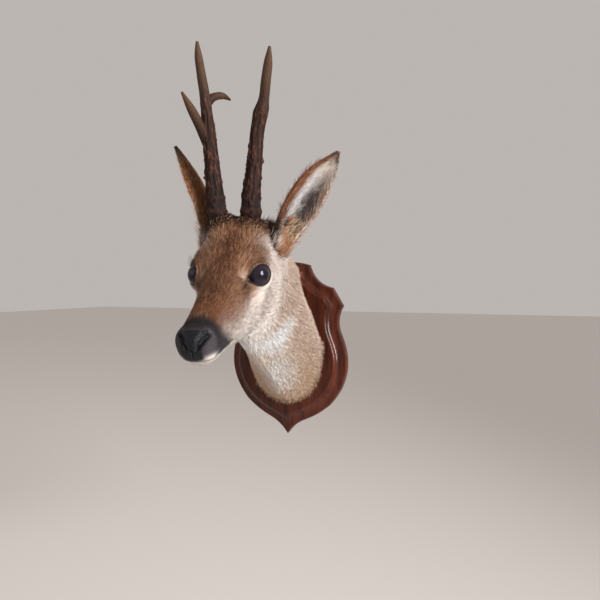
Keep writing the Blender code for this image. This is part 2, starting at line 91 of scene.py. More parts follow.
def soft_window(name, place, aim, width, height, power, colour):
    """An upright area light at a place, turned to its aim."""
    lamp = bpy.data.lights.new(name, "AREA")
    lamp.shape, lamp.size, lamp.size_y = "RECTANGLE", width, height
    lamp.energy, lamp.color, lamp.spread = power, colour, LAMP_SPREAD
    item = bpy.data.objects.new(name, lamp)
    way = np.array(aim) - np.array(place)
    turn = math.atan2(way[1], way[0]) - math.pi / 2
    tilt = math.atan2(math.hypot(way[0], way[1]), -way[2])
    item.location = place
    item.rotation_euler = (tilt, 0.0, turn)
    bpy.context.scene.collection.objects.link(item)


def make_air():
    """One pale colour all round, which is most of the light."""
    world = bpy.data.worlds.new("pale air")
    bpy.context.scene.world = world
    world.use_nodes = True
    sky = world.node_tree.nodes["Background"]
    sky.inputs["Color"].default_value = PALE_AIR
    sky.inputs["Strength"].default_value = AIR_STRENGTH
    bpy.context.scene.view_settings.view_transform = "Standard"


make_air()
for window, settings in WINDOWS.items():
    soft_window(window, *settings)

# %% [markdown]
# ## Writing finishes as sums
# A finish is a web of small nodes. Most of them only do arithmetic, so a socket is wrapped in a
# class whose +, -, * and / add the Math nodes. Any other node comes from one method, which takes
# its kind, its settings and what goes into its sockets.


# %% Sockets that do arithmetic
class Wire:
    """An output socket, with the arithmetic that finishes use."""

    def __init__(self, finish, socket):
        self.finish, self.socket = finish, socket

    def _sum(self, operation, first, second):
        values = {0: first, 1: second}
        return self.finish.node("ShaderNodeMath", {"operation": operation}, values)

    def __add__(self, other):
        return self._sum("ADD", self, other)

    def __radd__(self, other):
        return self._sum("ADD", other, self)

    def __sub__(self, other):
        return self._sum("SUBTRACT", self, other)

    def __rsub__(self, other):
        return self._sum("SUBTRACT", other, self)

    def __mul__(self, other):
        return self._sum("MULTIPLY", self, other)

    def __rmul__(self, other):
        return self._sum("MULTIPLY", other, self)

    def clamped(self, low=0.0, high=1.0):
        """From low to high becomes 0 to 1, in a soft S, and stays within."""
        settings = {"interpolation_type": "SMOOTHSTEP"}
        return self.finish.node("ShaderNodeMapRange", settings, {0: self, 1: low, 2: high})


class Finish:
    """One material: a Principled shader and the nodes that feed it."""

    def __init__(self, name):
        self.material = bpy.data.materials.new(name)
        self.material.use_nodes = True
        self.tree = self.material.node_tree
        self.shader = self.tree.nodes["Principled BSDF"]

    def put(self, socket, value):
        if isinstance(value, Wire):
            self.tree.links.new(value.socket, socket)
        elif isinstance(value, tuple) and len(value) == 3 and len(socket.default_value) == 4:
            socket.default_value = (*value, 1.0)
        else:
            socket.default_value = value

    def node(self, kind, settings=None, values=None, output=0):
        """A node of any kind: its settings first, then the values or links of its sockets."""
        made = self.tree.nodes.new(kind)
        for name, value in (settings or {}).items():
            setattr(made, name, value)
        for key, value in (values or {}).items():
            self.put(made.inputs[key], value)
        return Wire(self, made.outputs[output])

    def attribute(self, name, output="Fac"):
        return self.node("ShaderNodeAttribute", {"attribute_name": name}, output=output)

    def place(self):
        return self.node("ShaderNodeTexCoord", output="Object")

    def stretched(self, vector, scale, turn=(0.0, 0.0, 0.0)):
        return self.node("ShaderNodeMapping", {}, {"Vector": vector, "Scale": scale, "Rotation": turn})

    def noise(self, vector, scale, detail=4.0, roughness=0.55, distortion=0.0):
        values = {"Vector": vector, "Scale": scale, "Detail": detail}
        values.update({"Roughness": roughness, "Distortion": distortion})
        return self.node("ShaderNodeTexNoise", {}, values)

    def mix(self, share, first, second, blend="MIX"):
        settings = {"data_type": "RGBA", "blend_type": blend}
        return self.node("ShaderNodeMix", settings, {0: share, 6: first, 7: second}, output=2)

    def bump(self, height, distance, strength=1.0):
        values = {"Height": height, "Distance": distance, "Strength": strength}
        return self.node("ShaderNodeBump", {}, values)

    def shade(self, **values):
        for name, value in values.items():
            self.put(self.shader.inputs[name.replace("_", " ")], value)
        return self.material


def tone(red, green, blue):
    """A colour named by its screen values, 0 to 255, as the linear values that shaders use."""
    screen = np.array([red, green, blue]) / 255.0
    return tuple(np.where(screen < 0.04045, screen / 12.92, ((screen + 0.055) / 1.055) ** 2.4))


# %% Floor
def make_floor():
    """One large square far below the mount."""
    reach = FLOOR_REACH
    corners = [(-reach, -reach), (reach, -reach), (reach, reach), (-reach, reach)]
    mesh = bpy.data.meshes.new("floor")
    mesh.from_pydata([(x, y, FLOOR_LEVEL) for x, y in corners], [], [(0, 1, 2, 3)])
    floor = bpy.data.objects.new("floor", mesh)
    bpy.context.scene.collection.objects.link(floor)
    pale = Finish("pale floor")
    floor.data.materials.append(pale.shade(Base_Color=(0.80, 0.76, 0.73), Roughness=0.9))


make_floor()

# %% [markdown]
# ## From arrays to meshes
# Every surface here is worked out as whole numpy arrays. Three helpers number the faces of a grid,
# of a fan and of a closed tube, and a fourth turns points and faces into a piece. It carries named
# values from the arrays into the mesh, where the finishes can read them.


# %% Meshes from arrays
def grid_faces(rows, columns, wrap=True, first=0):
    """Quads between neighbouring rows. With wrap the last column joins the first one."""
    across = columns if wrap else columns - 1
    row, column = np.meshgrid(np.arange(rows - 1), np.arange(across), indexing="ij")
    beside = (column + 1) % columns
    low, high = first + row * columns, first + (row + 1) * columns
    return np.stack([low + column, low + beside, high + beside, high + column], -1).reshape(-1, 4)


def fan_faces(ring, pole, outwards=True):
    """Triangles from a ring of point numbers to its pole."""
    beside = np.roll(ring, -1)
    order = [beside, ring] if outwards else [ring, beside]
    return np.stack([np.full(len(ring), pole), *order], -1)


def tube_faces(rows, columns):
    """Quads round a closed tube, and fans to its two poles, whose points follow those of its grid."""
    total, ring = rows * columns, np.arange(columns)
    last = total - columns + ring
    return [grid_faces(rows, columns), fan_faces(ring, total, False), fan_faces(last, total + 1)]


def make_piece(name, points, faces, finish, values=None, patches=None, sharp=None):
    """A piece from arrays of points and of faces (a list of arrays, each of one corner count).
    "values" are carried at its points and "patches" are its places on the coat's unwrap."""
    points = np.asarray(points, np.float32).reshape(-1, 3)
    corners = np.concatenate([group.reshape(-1) for group in faces]).astype(np.int32)
    counts = np.concatenate([np.full(len(group), group.shape[1]) for group in faces])
    mesh = bpy.data.meshes.new(name)
    mesh.vertices.add(len(points))
    mesh.vertices.foreach_set("co", points.ravel())
    mesh.loops.add(len(corners))
    mesh.loops.foreach_set("vertex_index", corners)
    mesh.polygons.add(len(counts))
    mesh.polygons.foreach_set("loop_start", (np.cumsum(counts) - counts).astype(np.int32))
    mesh.update(calc_edges=True)
    mesh.validate()
    for key, value in (values or {}).items():
        value = np.asarray(value, np.float32)
        if value.ndim == 1:
            mesh.attributes.new(key, "FLOAT", "POINT").data.foreach_set("value", value)
        elif key.endswith("colour"):
            flat = np.concatenate([value, np.ones((len(value), 1), np.float32)], 1)
            mesh.attributes.new(key, "FLOAT_COLOR", "POINT").data.foreach_set("color", flat.ravel())
        else:
            mesh.attributes.new(key, "FLOAT_VECTOR", "POINT").data.foreach_set("vector", value.ravel())
    if patches is not None:
        layer = mesh.uv_layers.new(name="OFBake")
        layer.data.foreach_set("uv", np.asarray(patches, np.float32)[corners].ravel())
    mesh.shade_smooth()
    if sharp is not None:
        mesh.set_sharp_from_angle(angle=math.radians(sharp))
    mesh.materials.append(finish)
    piece = bpy.data.objects.new(name, mesh)
    bpy.context.scene.collection.objects.link(piece)
    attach(piece, "root")
    print(f"{name}: {len(points)} points, {int((counts - 2).sum())} triangles")
    return piece


def curve_through(knots, values, at):
    """A smooth curve through the values at the knots: a cubic Hermite on each span, whose slope at
    a knot is the slope between its two neighbours."""
    knots, values, at = (np.asarray(item, float) for item in (knots, values, at))
    shape = (-1,) + (1,) * (values.ndim - 1)
    slopes = np.gradient(values, knots, axis=0)
    span = np.clip(np.searchsorted(knots, at, side="right") - 1, 0, len(knots) - 2)
    width = (knots[span + 1] - knots[span]).reshape(at.shape + shape[1:])
    u = (at - knots[span]).reshape(at.shape + shape[1:]) / width
    return (
        (2 * u**3 - 3 * u**2 + 1) * values[span]
        + (u**3 - 2 * u**2 + u) * width * slopes[span]
        + (3 * u**2 - 2 * u**3) * values[span + 1]
        + (u**3 - u**2) * width * slopes[span + 1]
    )


def soft_step(x, low, high):
    """0 at low, 1 at high, and an S between. Low may be the larger one, which turns it round."""
    u = np.clip((x - low) / (high - low), 0.0, 1.0)
    return u * u * (3 - 2 * u)


def spread(low, high, count, *crowds):
    """Numbers from low to high, closer together in the crowds: (middle, reach, how much)."""
    fine = np.linspace(low, high, 4000)
    density = np.ones_like(fine)
    for middle, reach, much in crowds:
        density += much * np.exp(-(((fine - middle) / reach) ** 2))
    total = np.concatenate([[0.0], np.cumsum((density[1:] + density[:-1]) / 2)])
    return np.interp(np.linspace(0.0, total[-1], count), total, fine)


def unit(vectors):
    """Vectors divided by their own length."""
    return vectors / np.maximum(np.linalg.norm(vectors, axis=-1, keepdims=True), 1e-12)


# %% [markdown]
# ## The form under the coat
# The neck and head are one tube. It is drawn straight first, in a side view: q runs forward from
# the wall and z up. A row of named stations says where its top and bottom are, how wide it is and
# where it is widest, and soft bumps add brow, cheekbone and jaw. Then the whole is bent sideways.
# The solids were made from the same stations, so the skin lies inside them by the coat's depth.

# %% Stations of the neck and head
NOSE_REACH, NOSE_HEIGHT, HEAD_PITCH = 0.4235, 0.050, math.radians(17.3)
BASE_YAW, HEAD_YAW = math.radians(7.5), math.radians(13.1)
YAW_FROM, YAW_TO = 0.03, 0.19
NECK_SWAY, NECK_SWAY_END = 0.010, 0.26
BOARD_FACE = -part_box("shield_board")[0].y
EYE_CENTRE, EYE_RADIUS = np.array([0.1155, 0.0335, 0.0285]), 0.0135

NECK_STATIONS = {
    "in_the_board": ((0.000, 0.110), (0.000, -0.0900), 0.063, 0.44, 1.30, 2.2),
    "board_face": ((0.030, 0.111), (0.030, -0.0840), 0.0620, 0.44, 1.30, 2.2),
    "lower_neck": ((0.085, 0.122), (0.098, -0.0510), 0.0565, 0.48, 1.5, 1.7),
    "middle_neck": ((0.137, 0.136), (0.158, -0.0180), 0.0525, 0.50, 1.6, 1.45),
    "upper_neck": ((0.188, 0.151), (0.207, 0.0110), 0.0495, 0.52, 2.5, 1.4),
    "throat": ((0.225, 0.162), (0.237, 0.0330), 0.0465, 0.56, 2.2, 1.5),
}
HEAD_STATIONS = {
    "poll": ((0.190, 0.0680), (0.162, -0.0550), 0.0440, 0.020, 2.1, 1.8),
    "crown": ((0.172, 0.0745), (0.151, -0.0500), 0.0425, 0.022, 2.2, 1.8),
    "jaw_angle": ((0.155, 0.0735), (0.140, -0.0465), 0.0410, 0.024, 2.2, 1.8),
    "behind_eyes": ((0.139, 0.0690), (0.128, -0.0435), 0.0380, 0.026, 2.3, 1.8),
    "eyes": ((0.1225, 0.0612), (0.116, -0.0400), 0.0345, 0.025, 2.4, 1.8),
    "cheek": ((0.104, 0.0520), (0.101, -0.0360), 0.0300, 0.014, 2.2, 1.9),
    "mid_face": ((0.084, 0.0440), (0.083, -0.0310), 0.0252, 0.007, 2.1, 2.0),
    "mouth_corner": ((0.062, 0.0365), (0.062, -0.0260), 0.0215, 0.003, 2.1, 2.1),
    "lips": ((0.040, 0.0300), (0.040, -0.0225), 0.0190, 0.001, 2.2, 2.2),
    "nostrils": ((0.018, 0.0235), (0.018, -0.0195), 0.0168, 0.002, 2.3, 2.3),
    "nose_front": ((0.000, 0.0195), (0.000, -0.0150), 0.0152, 0.003, 2.3, 2.3),
}
NOSE_ROUNDING, NOSE_TAPER = 0.013, 0.62
LAST_STATION = len(NECK_STATIONS) + len(HEAD_STATIONS) - 1
BUMPS = {
    "brow": ((0.132, 0.050, 0.034), (0.020, 0.011, 0.014), 0.0050),
    "eye_socket": ((0.120, 0.033, 0.036), (0.018, 0.016, 0.016), 0.0048),
    "tear_hollow": ((0.096, 0.020, 0.030), (0.012, 0.012, 0.012), -0.0022),
    "cheekbone": ((0.118, 0.008, 0.034), (0.026, 0.008, 0.014), 0.0018),
    "jaw_muscle": ((0.146, -0.016, 0.032), (0.022, 0.022, 0.020), 0.0035),
    "nostril_wing": ((0.010, 0.008, 0.018), (0.010, 0.009, 0.009), 0.0022),
    "chin_notch": ((0.002, -0.016, 0.000), (0.009, 0.008, 0.030), -0.0040),
    "pedicle": ((0.160, 0.080, 0.019), (0.015, 0.030, 0.013), 0.0090),
    "crest": ((0.164, 0.074, 0.000), (0.020, 0.040, 0.030), 0.0065),
    "ear_base": ((0.190, 0.045, 0.042), (0.020, 0.018, 0.024), 0.0130),
    "nape_fold": ((0.236, 0.006, 0.046), (0.018, 0.018, 0.018), 0.0060),
    "board_fold": ((0.374, -0.160, 0.058), (0.012, 0.010, 0.012), 0.0040),
}


# %% From head places to the frame and back
def from_head(back, up):
    """(q, z) in the straight side view of a point so far behind the nose tip and above it."""
    c, s = math.cos(HEAD_PITCH), math.sin(HEAD_PITCH)
    return NOSE_REACH - back * c + up * s, NOSE_HEIGHT + back * s + up * c


def to_head(straight):
    """(back, up, side) of the nose tip, for points (q, side, z) of the straight side view."""
    c, s = math.cos(HEAD_PITCH), math.sin(HEAD_PITCH)
    forward, rise = straight[..., 0] - NOSE_REACH, straight[..., 2] - NOSE_HEIGHT
    return np.stack([rise * s - forward * c, forward * s + rise * c, straight[..., 1]], -1)


def straight_from_head(place):
    """(q, side, z) of the straight side view, for places (back, up, side) of the head."""
    q, z = from_head(place[..., 0], place[..., 1])
    return np.stack([q, place[..., 2], z], -1)


def bent(straight):
    """The straight model bent sideways: its middle plane turns from BASE_YAW to HEAD_YAW, and the
    middle of the neck sways to the left."""
    steps = np.linspace(0.0, 0.5, 501)
    yaws = BASE_YAW + (HEAD_YAW - BASE_YAW) * soft_step(steps, YAW_FROM, YAW_TO)
    width = steps[1] - steps[0]
    xs = np.concatenate([[0.0], np.cumsum(np.sin((yaws[1:] + yaws[:-1]) / 2)) * width])
    ys = np.concatenate([[0.0], np.cumsum(-np.cos((yaws[1:] + yaws[:-1]) / 2)) * width])
    q, side, z = straight[..., 0], straight[..., 1], straight[..., 2]
    yaw = np.interp(q, steps, yaws)
    sway = NECK_SWAY * np.sin(math.pi * np.clip(q / NECK_SWAY_END, 0.0, 1.0)) ** 2
    x = np.interp(q, steps, xs) + sway + side * np.cos(yaw)
    y = np.interp(q, steps, ys) + side * np.sin(yaw)
    return np.stack([x, y, z], -1)


def placed(back, up, side):
    """A place of the head in the frame."""
    place = np.stack(np.broadcast_arrays(back, up, side), -1).astype(float)
    return bent(straight_from_head(place))


def station_rows():
    """Top (q, z), bottom (q, z), half width, share of the height where it is widest, fullnesses."""
    rows = [(*top, *low, half, level, a, b) for top, low, half, level, a, b in NECK_STATIONS.values()]
    for top, low, half, widest, a, b in HEAD_STATIONS.values():
        level = (widest - low[1]) / (top[1] - low[1])
        rows.append((*from_head(*top), *from_head(*low), half, level, a, b))
    return np.array(rows)


def swell(straight):
    """How far the soft bumps raise the skin: each is height * exp(-distance^2), on both sides."""
    place = to_head(straight)
    place[..., 2] = np.abs(place[..., 2])
    total = np.zeros(place.shape[:-1])
    for middle, reach, height in BUMPS.values():
        total += height * np.exp(-(((place - middle) / reach) ** 2).sum(-1))
    return total


def grid_normals(grid, judged=None):
    """Unit normals of a grid whose columns close round. They point away from its middle line, which
    is judged by the first so many columns."""
    along = np.gradient(grid, axis=0)
    round_it = np.roll(grid, -1, axis=1) - np.roll(grid, 1, axis=1)
    normal = unit(np.cross(along, round_it))
    away = (normal * (grid - grid.mean(1, keepdims=True))).sum(-1)
    return normal * np.sign(np.median(away[:, :judged]))


def tube_form(at, turn):
    """Points (q, side, z) of the straight tube at stations "at" and at angles "turn" round it, 0 at
    the top. The upper and the lower half of a section are super-ellipses that meet where it is
    widest: side = half width * |sin|^(2/n), height = |cos|^(2/n)."""
    row = curve_through(np.arange(LAST_STATION + 1), station_rows(), at)
    top_q, top_z, low_q, low_z, half, level, upper, lower = (column[:, None] for column in row.T)
    turn = turn[None, :]
    power = 2 / np.where(np.cos(turn) >= 0, upper, lower)
    across = np.sign(np.sin(turn)) * np.abs(np.sin(turn)) ** power
    rise = np.sign(np.cos(turn)) * np.abs(np.cos(turn)) ** power
    height = level + np.where(rise >= 0, (1 - level) * rise, level * rise)
    back = (LAST_STATION - at)[:, None] * HEAD_STATIONS["nostrils"][0][0]
    blunt = np.clip(1 - back / NOSE_ROUNDING, 0.0, 1.0)
    taper = np.sqrt(1 - NOSE_TAPER * blunt**2)
    middle = level + 0.02
    height = middle + (height - middle) * taper
    q, z = low_q + height * (top_q - low_q), low_z + height * (top_z - low_z)
    return np.stack([q, half * across * taper, z], -1)


# %% [markdown]
# ## The skin
# The grid of the skin is crowded where the shape is fine: round the eyes, and at the nose. Lids
# are drawn by pulling the skin round each eye onto a ball a little larger than the eye and sinking
# it under the eye inside an almond. Nostrils, the mouth and the groove of the upper lip are pressed
# in along curves. All of it is done on the straight form, before the bend.

# %% Grid of the skin
SKIN_START, SKIN_ROWS, SKIN_COLUMNS, CAP_ROWS = 0.62, 372, 228, 16
EYE_STATION, EYE_TURN = 10.2, 1.36
NOSE_DOME, NOSE_RELAXINGS = 0.0022, 10


def coat_depth(at):
    """How deep the coat is, in metres, from the board to the nose."""
    knots = [0, 2, 4.5, 6, 8, 10, 12, 13.5, 15, 15.6, 16]
    depths = [0.0042, 0.0040, 0.0036, 0.0034, 0.0028, 0.0024, 0.0020, 0.0014, 0.0009, 0.0004, 0.0003]
    return np.interp(at, knots, depths)


def bare_round_eyes(place):
    """The coat thins to a quarter of its depth round the eyes."""
    sides = place * (1, 1, np.nan)
    sides[..., 2] = np.abs(place[..., 2])
    gap = np.linalg.norm(sides - EYE_CENTRE, axis=-1)
    return 1 - 0.75 * soft_step(gap, 0.034, 0.015)


def skin_rows():
    """Stations and angles of the grid, crowded at the eyes and at the nose."""
    eye, nose = (EYE_STATION, 0.62, 2.6), (LAST_STATION, 0.9, 3.2)
    at = spread(SKIN_START, LAST_STATION, SKIN_ROWS, eye, nose, (13.0, 2.2, 0.5))
    left_eye, right_eye = (EYE_TURN, 0.3, 2.4), (2 * math.pi - EYE_TURN, 0.3, 2.4)
    turn = spread(0, 2 * math.pi, SKIN_COLUMNS + 1, left_eye, right_eye)
    return at, turn[:-1]


def rounded_nose(grid):
    """The last rows are relaxed along their columns, so that the blunt end has no edge, and then
    closed by a low dome: ring * cos + forward * height * sin."""
    for _ in range(NOSE_RELAXINGS):
        middle = (grid[-24:-2] + grid[-22:]) / 2
        grid[-23:-1] = 0.5 * grid[-23:-1] + 0.5 * middle
    centre = grid[-1].mean(0)
    forward = unit(centre - grid[-14].mean(0))
    climb = np.linspace(0, math.pi / 2, CAP_ROWS + 1)[1:-1, None, None]
    dome = centre + (grid[-1] - centre) * np.cos(climb) + forward * NOSE_DOME * np.sin(climb)
    return np.concatenate([grid, dome]), centre + forward * NOSE_DOME


# %% [markdown]
# The eye looks outwards, a little forwards. Round its axis, the lids' edge is an almond: an angle
# from the axis that is wider towards the two corners. The inner corner is drawn out towards the
# nose, where the tear duct lies.

# %% Lids
EYE_AXIS = unit(np.array([-0.69, 0.12, 0.71]))
EYE_AHEAD = unit(np.array([-0.86, -0.16, -0.50]))
LID_HEIGHT, LID_SINK, LID_BLEND = 0.0013, 0.0022, 0.0020


def across_eye():
    """Two directions square to the eye's axis: towards the inner corner, and upwards."""
    ahead = unit(EYE_AHEAD - EYE_AXIS * (EYE_AHEAD @ EYE_AXIS))
    above = np.cross(ahead, EYE_AXIS)
    return ahead, above * np.sign(above[1])


def eye_angles(place, sign):
    """Distance from the eye's centre, angle from its axis, and angle round it from the inner corner
    upwards, for places of the head on the side "sign"."""
    offset = (place - EYE_CENTRE * (1, 1, sign)) * (1, 1, sign)
    distance = np.linalg.norm(offset, axis=-1)
    ahead, above = across_eye()
    away = np.arccos(np.clip((offset @ EYE_AXIS) / np.maximum(distance, 1e-9), -1, 1))
    round_it = np.arctan2(offset @ above, offset @ ahead)
    return distance, away, round_it


def almond(round_it, sign):
    """Angle from the eye's axis to the lids' edge: a flat oval, pointed at the inner corner. The
    right eye is less open in front."""
    oval = 50.5 + 3.0 * np.cos(2 * round_it) + 2.0 * np.sin(round_it)
    corner = 13 * np.exp(-(((round_it - 0.08) / 0.32) ** 2))
    if sign < 0:
        corner = -16 * np.exp(-((round_it / 0.85) ** 2))
    outer = 4 * np.exp(-((np.abs(round_it) - math.pi) / 0.35) ** 2)
    return np.radians(oval + corner + outer)


def fit_lids(place, sign):
    """Moves places of the head along their lines from the eye's centre. Inside the almond they sink
    under the eye. Outside it they lie on a lid, a ball a little larger than the eye, which runs out
    into the face: lid + half of (rise + sqrt(rise^2 + softness^2)). Also returns the mask of the
    dark bare rim."""
    distance, away, round_it = eye_angles(place, sign)
    beyond = np.degrees(away - almond(round_it, sign))
    near = distance < 0.034
    lid = EYE_RADIUS + 0.0002 + LID_HEIGHT * np.sqrt(np.clip(beyond / 6.0, 0.0, 1.0))
    lid = lid + 0.0008 * soft_step(beyond, 6.0, 20.0)
    crease = np.exp(-(((beyond - 13.0) / 3.0) ** 2)) * soft_step(np.sin(round_it), 0.0, 0.6)
    lid = lid - 0.0009 * crease
    rise = distance - lid
    joined = lid + (rise + np.sqrt(rise**2 + LID_BLEND**2)) / 2 * soft_step(beyond, 3.0, 26.0)
    joined = joined + (distance - joined) * soft_step(distance, 0.024, 0.034)
    sunk = EYE_RADIUS + 0.0002 - LID_SINK * np.clip(-beyond / 3.0, 0.0, 1.0)
    wanted = np.where(beyond > 0, joined, sunk)
    centre = EYE_CENTRE * (1, 1, sign)
    fitted = centre + (place - centre) * (wanted / np.maximum(distance, 1e-9))[..., None]
    inner = np.exp(-(((round_it - 0.08) / 0.40) ** 2)) * (sign > 0)
    rim = soft_step(beyond - 4 * inner, 6.0, 3.0) * soft_step(wanted - EYE_RADIUS, 0.0036, 0.0024)
    return np.where(near[..., None], fitted, place), rim * near


# %% Nostrils and mouth
NOSTRIL = np.array([
    (-0.0010, 0.0050, 0.0048),
    (-0.0002, 0.0074, 0.0060),
    (0.0020, 0.0104, 0.0083),
    (0.0050, 0.0128, 0.0105),
    (0.0080, 0.0138, 0.0128),
])
NOSTRIL_WIDTHS = [0.0010, 0.0020, 0.0030, 0.0029, 0.0016]
MOUTH_BACKS = [0.0, 0.010, 0.030, 0.048, 0.060]
MOUTH_UPS = [-0.0085, -0.0088, -0.0095, -0.0110, -0.0128]
MOUTH_END = 0.057


def near_curve(place, points, widths):
    """exp(-(distance / width)^2) to a smooth curve through the points, as wide as it says there."""
    knots = np.linspace(0, 1, len(points))
    share = np.linspace(0, 1, 40)
    path, width = curve_through(knots, points, share), curve_through(knots, widths, share)
    gaps = np.linalg.norm(place[..., None, :] - path, axis=-1) / width
    return np.exp(-(gaps.min(-1) ** 2))


def mouth_height(back):
    """Where the lips meet, above the nose tip, so far behind it."""
    return np.interp(back, MOUTH_BACKS, MOUTH_UPS)


def press_face(place, normal):
    """Presses the nostrils, the line of the mouth and the groove of the lip into the face, and
    tucks the lower lip in under the upper one. Also returns the masks of the first two."""
    back, up, side = place[..., 0], place[..., 1], np.abs(place[..., 2])
    front = back < 0.030
    nostril = np.zeros(back.shape)
    mirrored = np.stack([back[front], up[front], side[front]], -1)
    nostril[front] = near_curve(mirrored, NOSTRIL, NOSTRIL_WIDTHS)
    below = mouth_height(back) - up
    along = soft_step(back, MOUTH_END + 0.004, MOUTH_END - 0.004)
    mouth = np.exp(-((below / 0.0011) ** 2)) * along
    under = soft_step(below, -0.0004, 0.0016) * soft_step(below, 0.012, 0.004) * along
    groove = np.exp(-((side / 0.0008) ** 2)) * soft_step(back, 0.008, 0.003)
    groove *= soft_step(below, 0.0, -0.003)
    groove *= soft_step(up, 0.006, 0.0)
    flare = np.exp(-((np.hypot(back - 0.011, up - 0.0155) / 0.006) ** 2))
    flare *= soft_step(side, 0.006, 0.012)
    press = 0.0042 * nostril + 0.0011 * mouth + 0.0012 * under + 0.0008 * groove - 0.0009 * flare
    return place - normal * press[..., None], nostril, mouth


def head_normals(straight):
    """Normals of the straight grid, turned into the head's own axes."""
    c, s = math.cos(HEAD_PITCH), math.sin(HEAD_PITCH)
    normal = grid_normals(straight)
    forward, across, rise = normal[..., 0], normal[..., 1], normal[..., 2]
    return np.stack([rise * s - forward * c, forward * s + rise * c, across], -1)


FLOW_ALONG = 5.0


def skin_flow(grid, turn):
    """(cos turn, sin turn, distance along the body): a place on the skin that has no seam."""
    run = np.concatenate([[0], np.linalg.norm(np.diff(grid.mean(1), axis=0), axis=1)]).cumsum()
    turn = np.broadcast_to(turn, grid.shape[:2])
    along = np.broadcast_to(FLOW_ALONG * run[:, None], turn.shape)
    return np.stack([np.cos(turn), np.sin(turn), along], -1)


def make_form():
    """The skin as arrays: its straight and bent grids and its masks."""
    at, turn = skin_rows()
    straight = tube_form(at, turn)
    lift = swell(straight) - coat_depth(at)[:, None] * bare_round_eyes(to_head(straight))
    straight = straight + grid_normals(straight) * lift[..., None]
    straight, tip = rounded_nose(straight)
    at = np.concatenate([at, np.full(CAP_ROWS - 1, LAST_STATION)])
    place = to_head(straight)
    place, nostril, mouth = press_face(place, head_normals(straight))
    rims = []
    for sign in (1, -1):
        place, rim = fit_lids(place, sign)
        rims.append(rim)
    straight = straight_from_head(place)
    grid = bent(straight)
    normal = grid_normals(grid)
    lie = -unit(np.gradient(grid, axis=0))
    return {
        "at": at, "turn": turn, "grid": grid, "place": place, "normal": normal, "lie": lie,
        "flow": skin_flow(grid, turn), "nostril": nostril, "mouth": mouth,
        "rim": np.maximum(*rims), "tip": bent(tip),
    }


form = make_form()
print("skin grid:", form["grid"].shape[:2])

# %% [markdown]
# ## The markings
# A roe buck in its mount is fawn on the neck, paler under the throat, cream on the cheeks and
# red-brown down the face, with a dark band behind the bare black nose and white lips. The colours
# are painted as whole arrays over the skin, one soft mask after another, and the coat takes its
# colours from the same arrays, so that skin and coat always carry the same markings.


# %% Soft noise and paint
def ripple(points, size, seed, waves=14):
    """Soft noise of about -1 to 1: a sum of sine waves of about this size in random directions."""
    draw = np.random.default_rng(seed)
    ways = unit(draw.normal(size=(waves, 3))) * 2 * math.pi / size
    ways = ways * draw.uniform(0.6, 1.5, (waves, 1))
    total = np.zeros(points.shape[:-1])
    for way, phase in zip(ways, draw.uniform(0, 2 * math.pi, waves)):
        total += np.sin(points @ way + phase)
    return total / math.sqrt(waves)


def paint(base, colour, share):
    """base + (colour - base) * share, with the share kept within 0 and 1."""
    return base + (np.array(tone(*colour)) - base) * np.clip(share, 0, 1)[..., None]


def painted(base, layers):
    """Layers over a base, from the first to the last. Each is a colour and its share."""
    for colour, share in layers:
        base = paint(base, colour, share)
    return base


def plain(colour, shape):
    """An array of one colour."""
    return np.broadcast_to(tone(*colour), (*shape, 3)).copy()


def dab(place, middle, reach):
    """1 at a place of the head, on both sides, fading as exp(-distance^2) over the reach."""
    gap = np.stack([place[..., 0], place[..., 1], np.abs(place[..., 2])], -1) - middle
    return np.exp(-((gap / reach) ** 2).sum(-1))


# %% Colours of the neck and head
FAWN, NAPE, UNDER, ASH = (215, 193, 177), (178, 142, 114), (224, 206, 190), (226, 223, 220)
FRINGE, WHITE_THROAT, CREAM = (194, 158, 122), (250, 250, 250), (234, 223, 216)
OCHRE, PALE_JAW, TAWNY, STRAY = (202, 168, 138), (252, 244, 237), (152, 114, 89), (190, 162, 140)
RED_BROWN, DARK_STREAK, TICK, SMOKE = (127, 79, 53), (86, 52, 39), (190, 148, 114), (71, 67, 71)
MILK, SOOT, TEAR, NOSE_BLACK = (240, 233, 225), (52, 38, 30), (66, 44, 34), (22, 23, 27)
STROKE_BROWN, PALE_CORNER_AND_HIGHLIGHT, EYE_CORNER = (104, 82, 70), (200, 178, 158), (24, 22, 25)
SMOKE_ABOVE, SMOKE_BY_NOSE, NOSE_TOP_HIGHLIGHT = (66, 54, 50), (40, 38, 42), (100, 95, 103)
RIM_BLACK, CROWN_BROWN = (16, 14, 15), (92, 64, 46)
STROKES = [
    [(0.1256, -0.0095, 0.0283), (0.1130, -0.0070, 0.0270), (0.1017, -0.0063, 0.0247)],
    [(0.1859, 0.0023, 0.0408), (0.1780, 0.0020, 0.0400), (0.1710, 0.0028, 0.0386)],
]
STROKE_WIDTHS = [0.0006, 0.0011, 0.0005]
BROWN_FROM = np.array([
    (0.018, 0.0000), (0.030, 0.0070), (0.040, 0.0070), (0.050, 0.0080), (0.062, 0.0080),
    (0.075, 0.0112), (0.092, 0.0150), (0.103, 0.0190), (0.112, 0.0310), (0.125, 0.0490),
    (0.137, 0.0590), (0.147, 0.0680), (0.165, 0.0740), (0.190, 0.0750),
])
SMOKE_TO = np.array([
    (-0.012, 0.0550), (-0.005, 0.0420), (0.000, 0.0370), (0.005, 0.0310),
    (0.012, 0.0255), (0.020, 0.0215), (0.034, 0.0190),
])


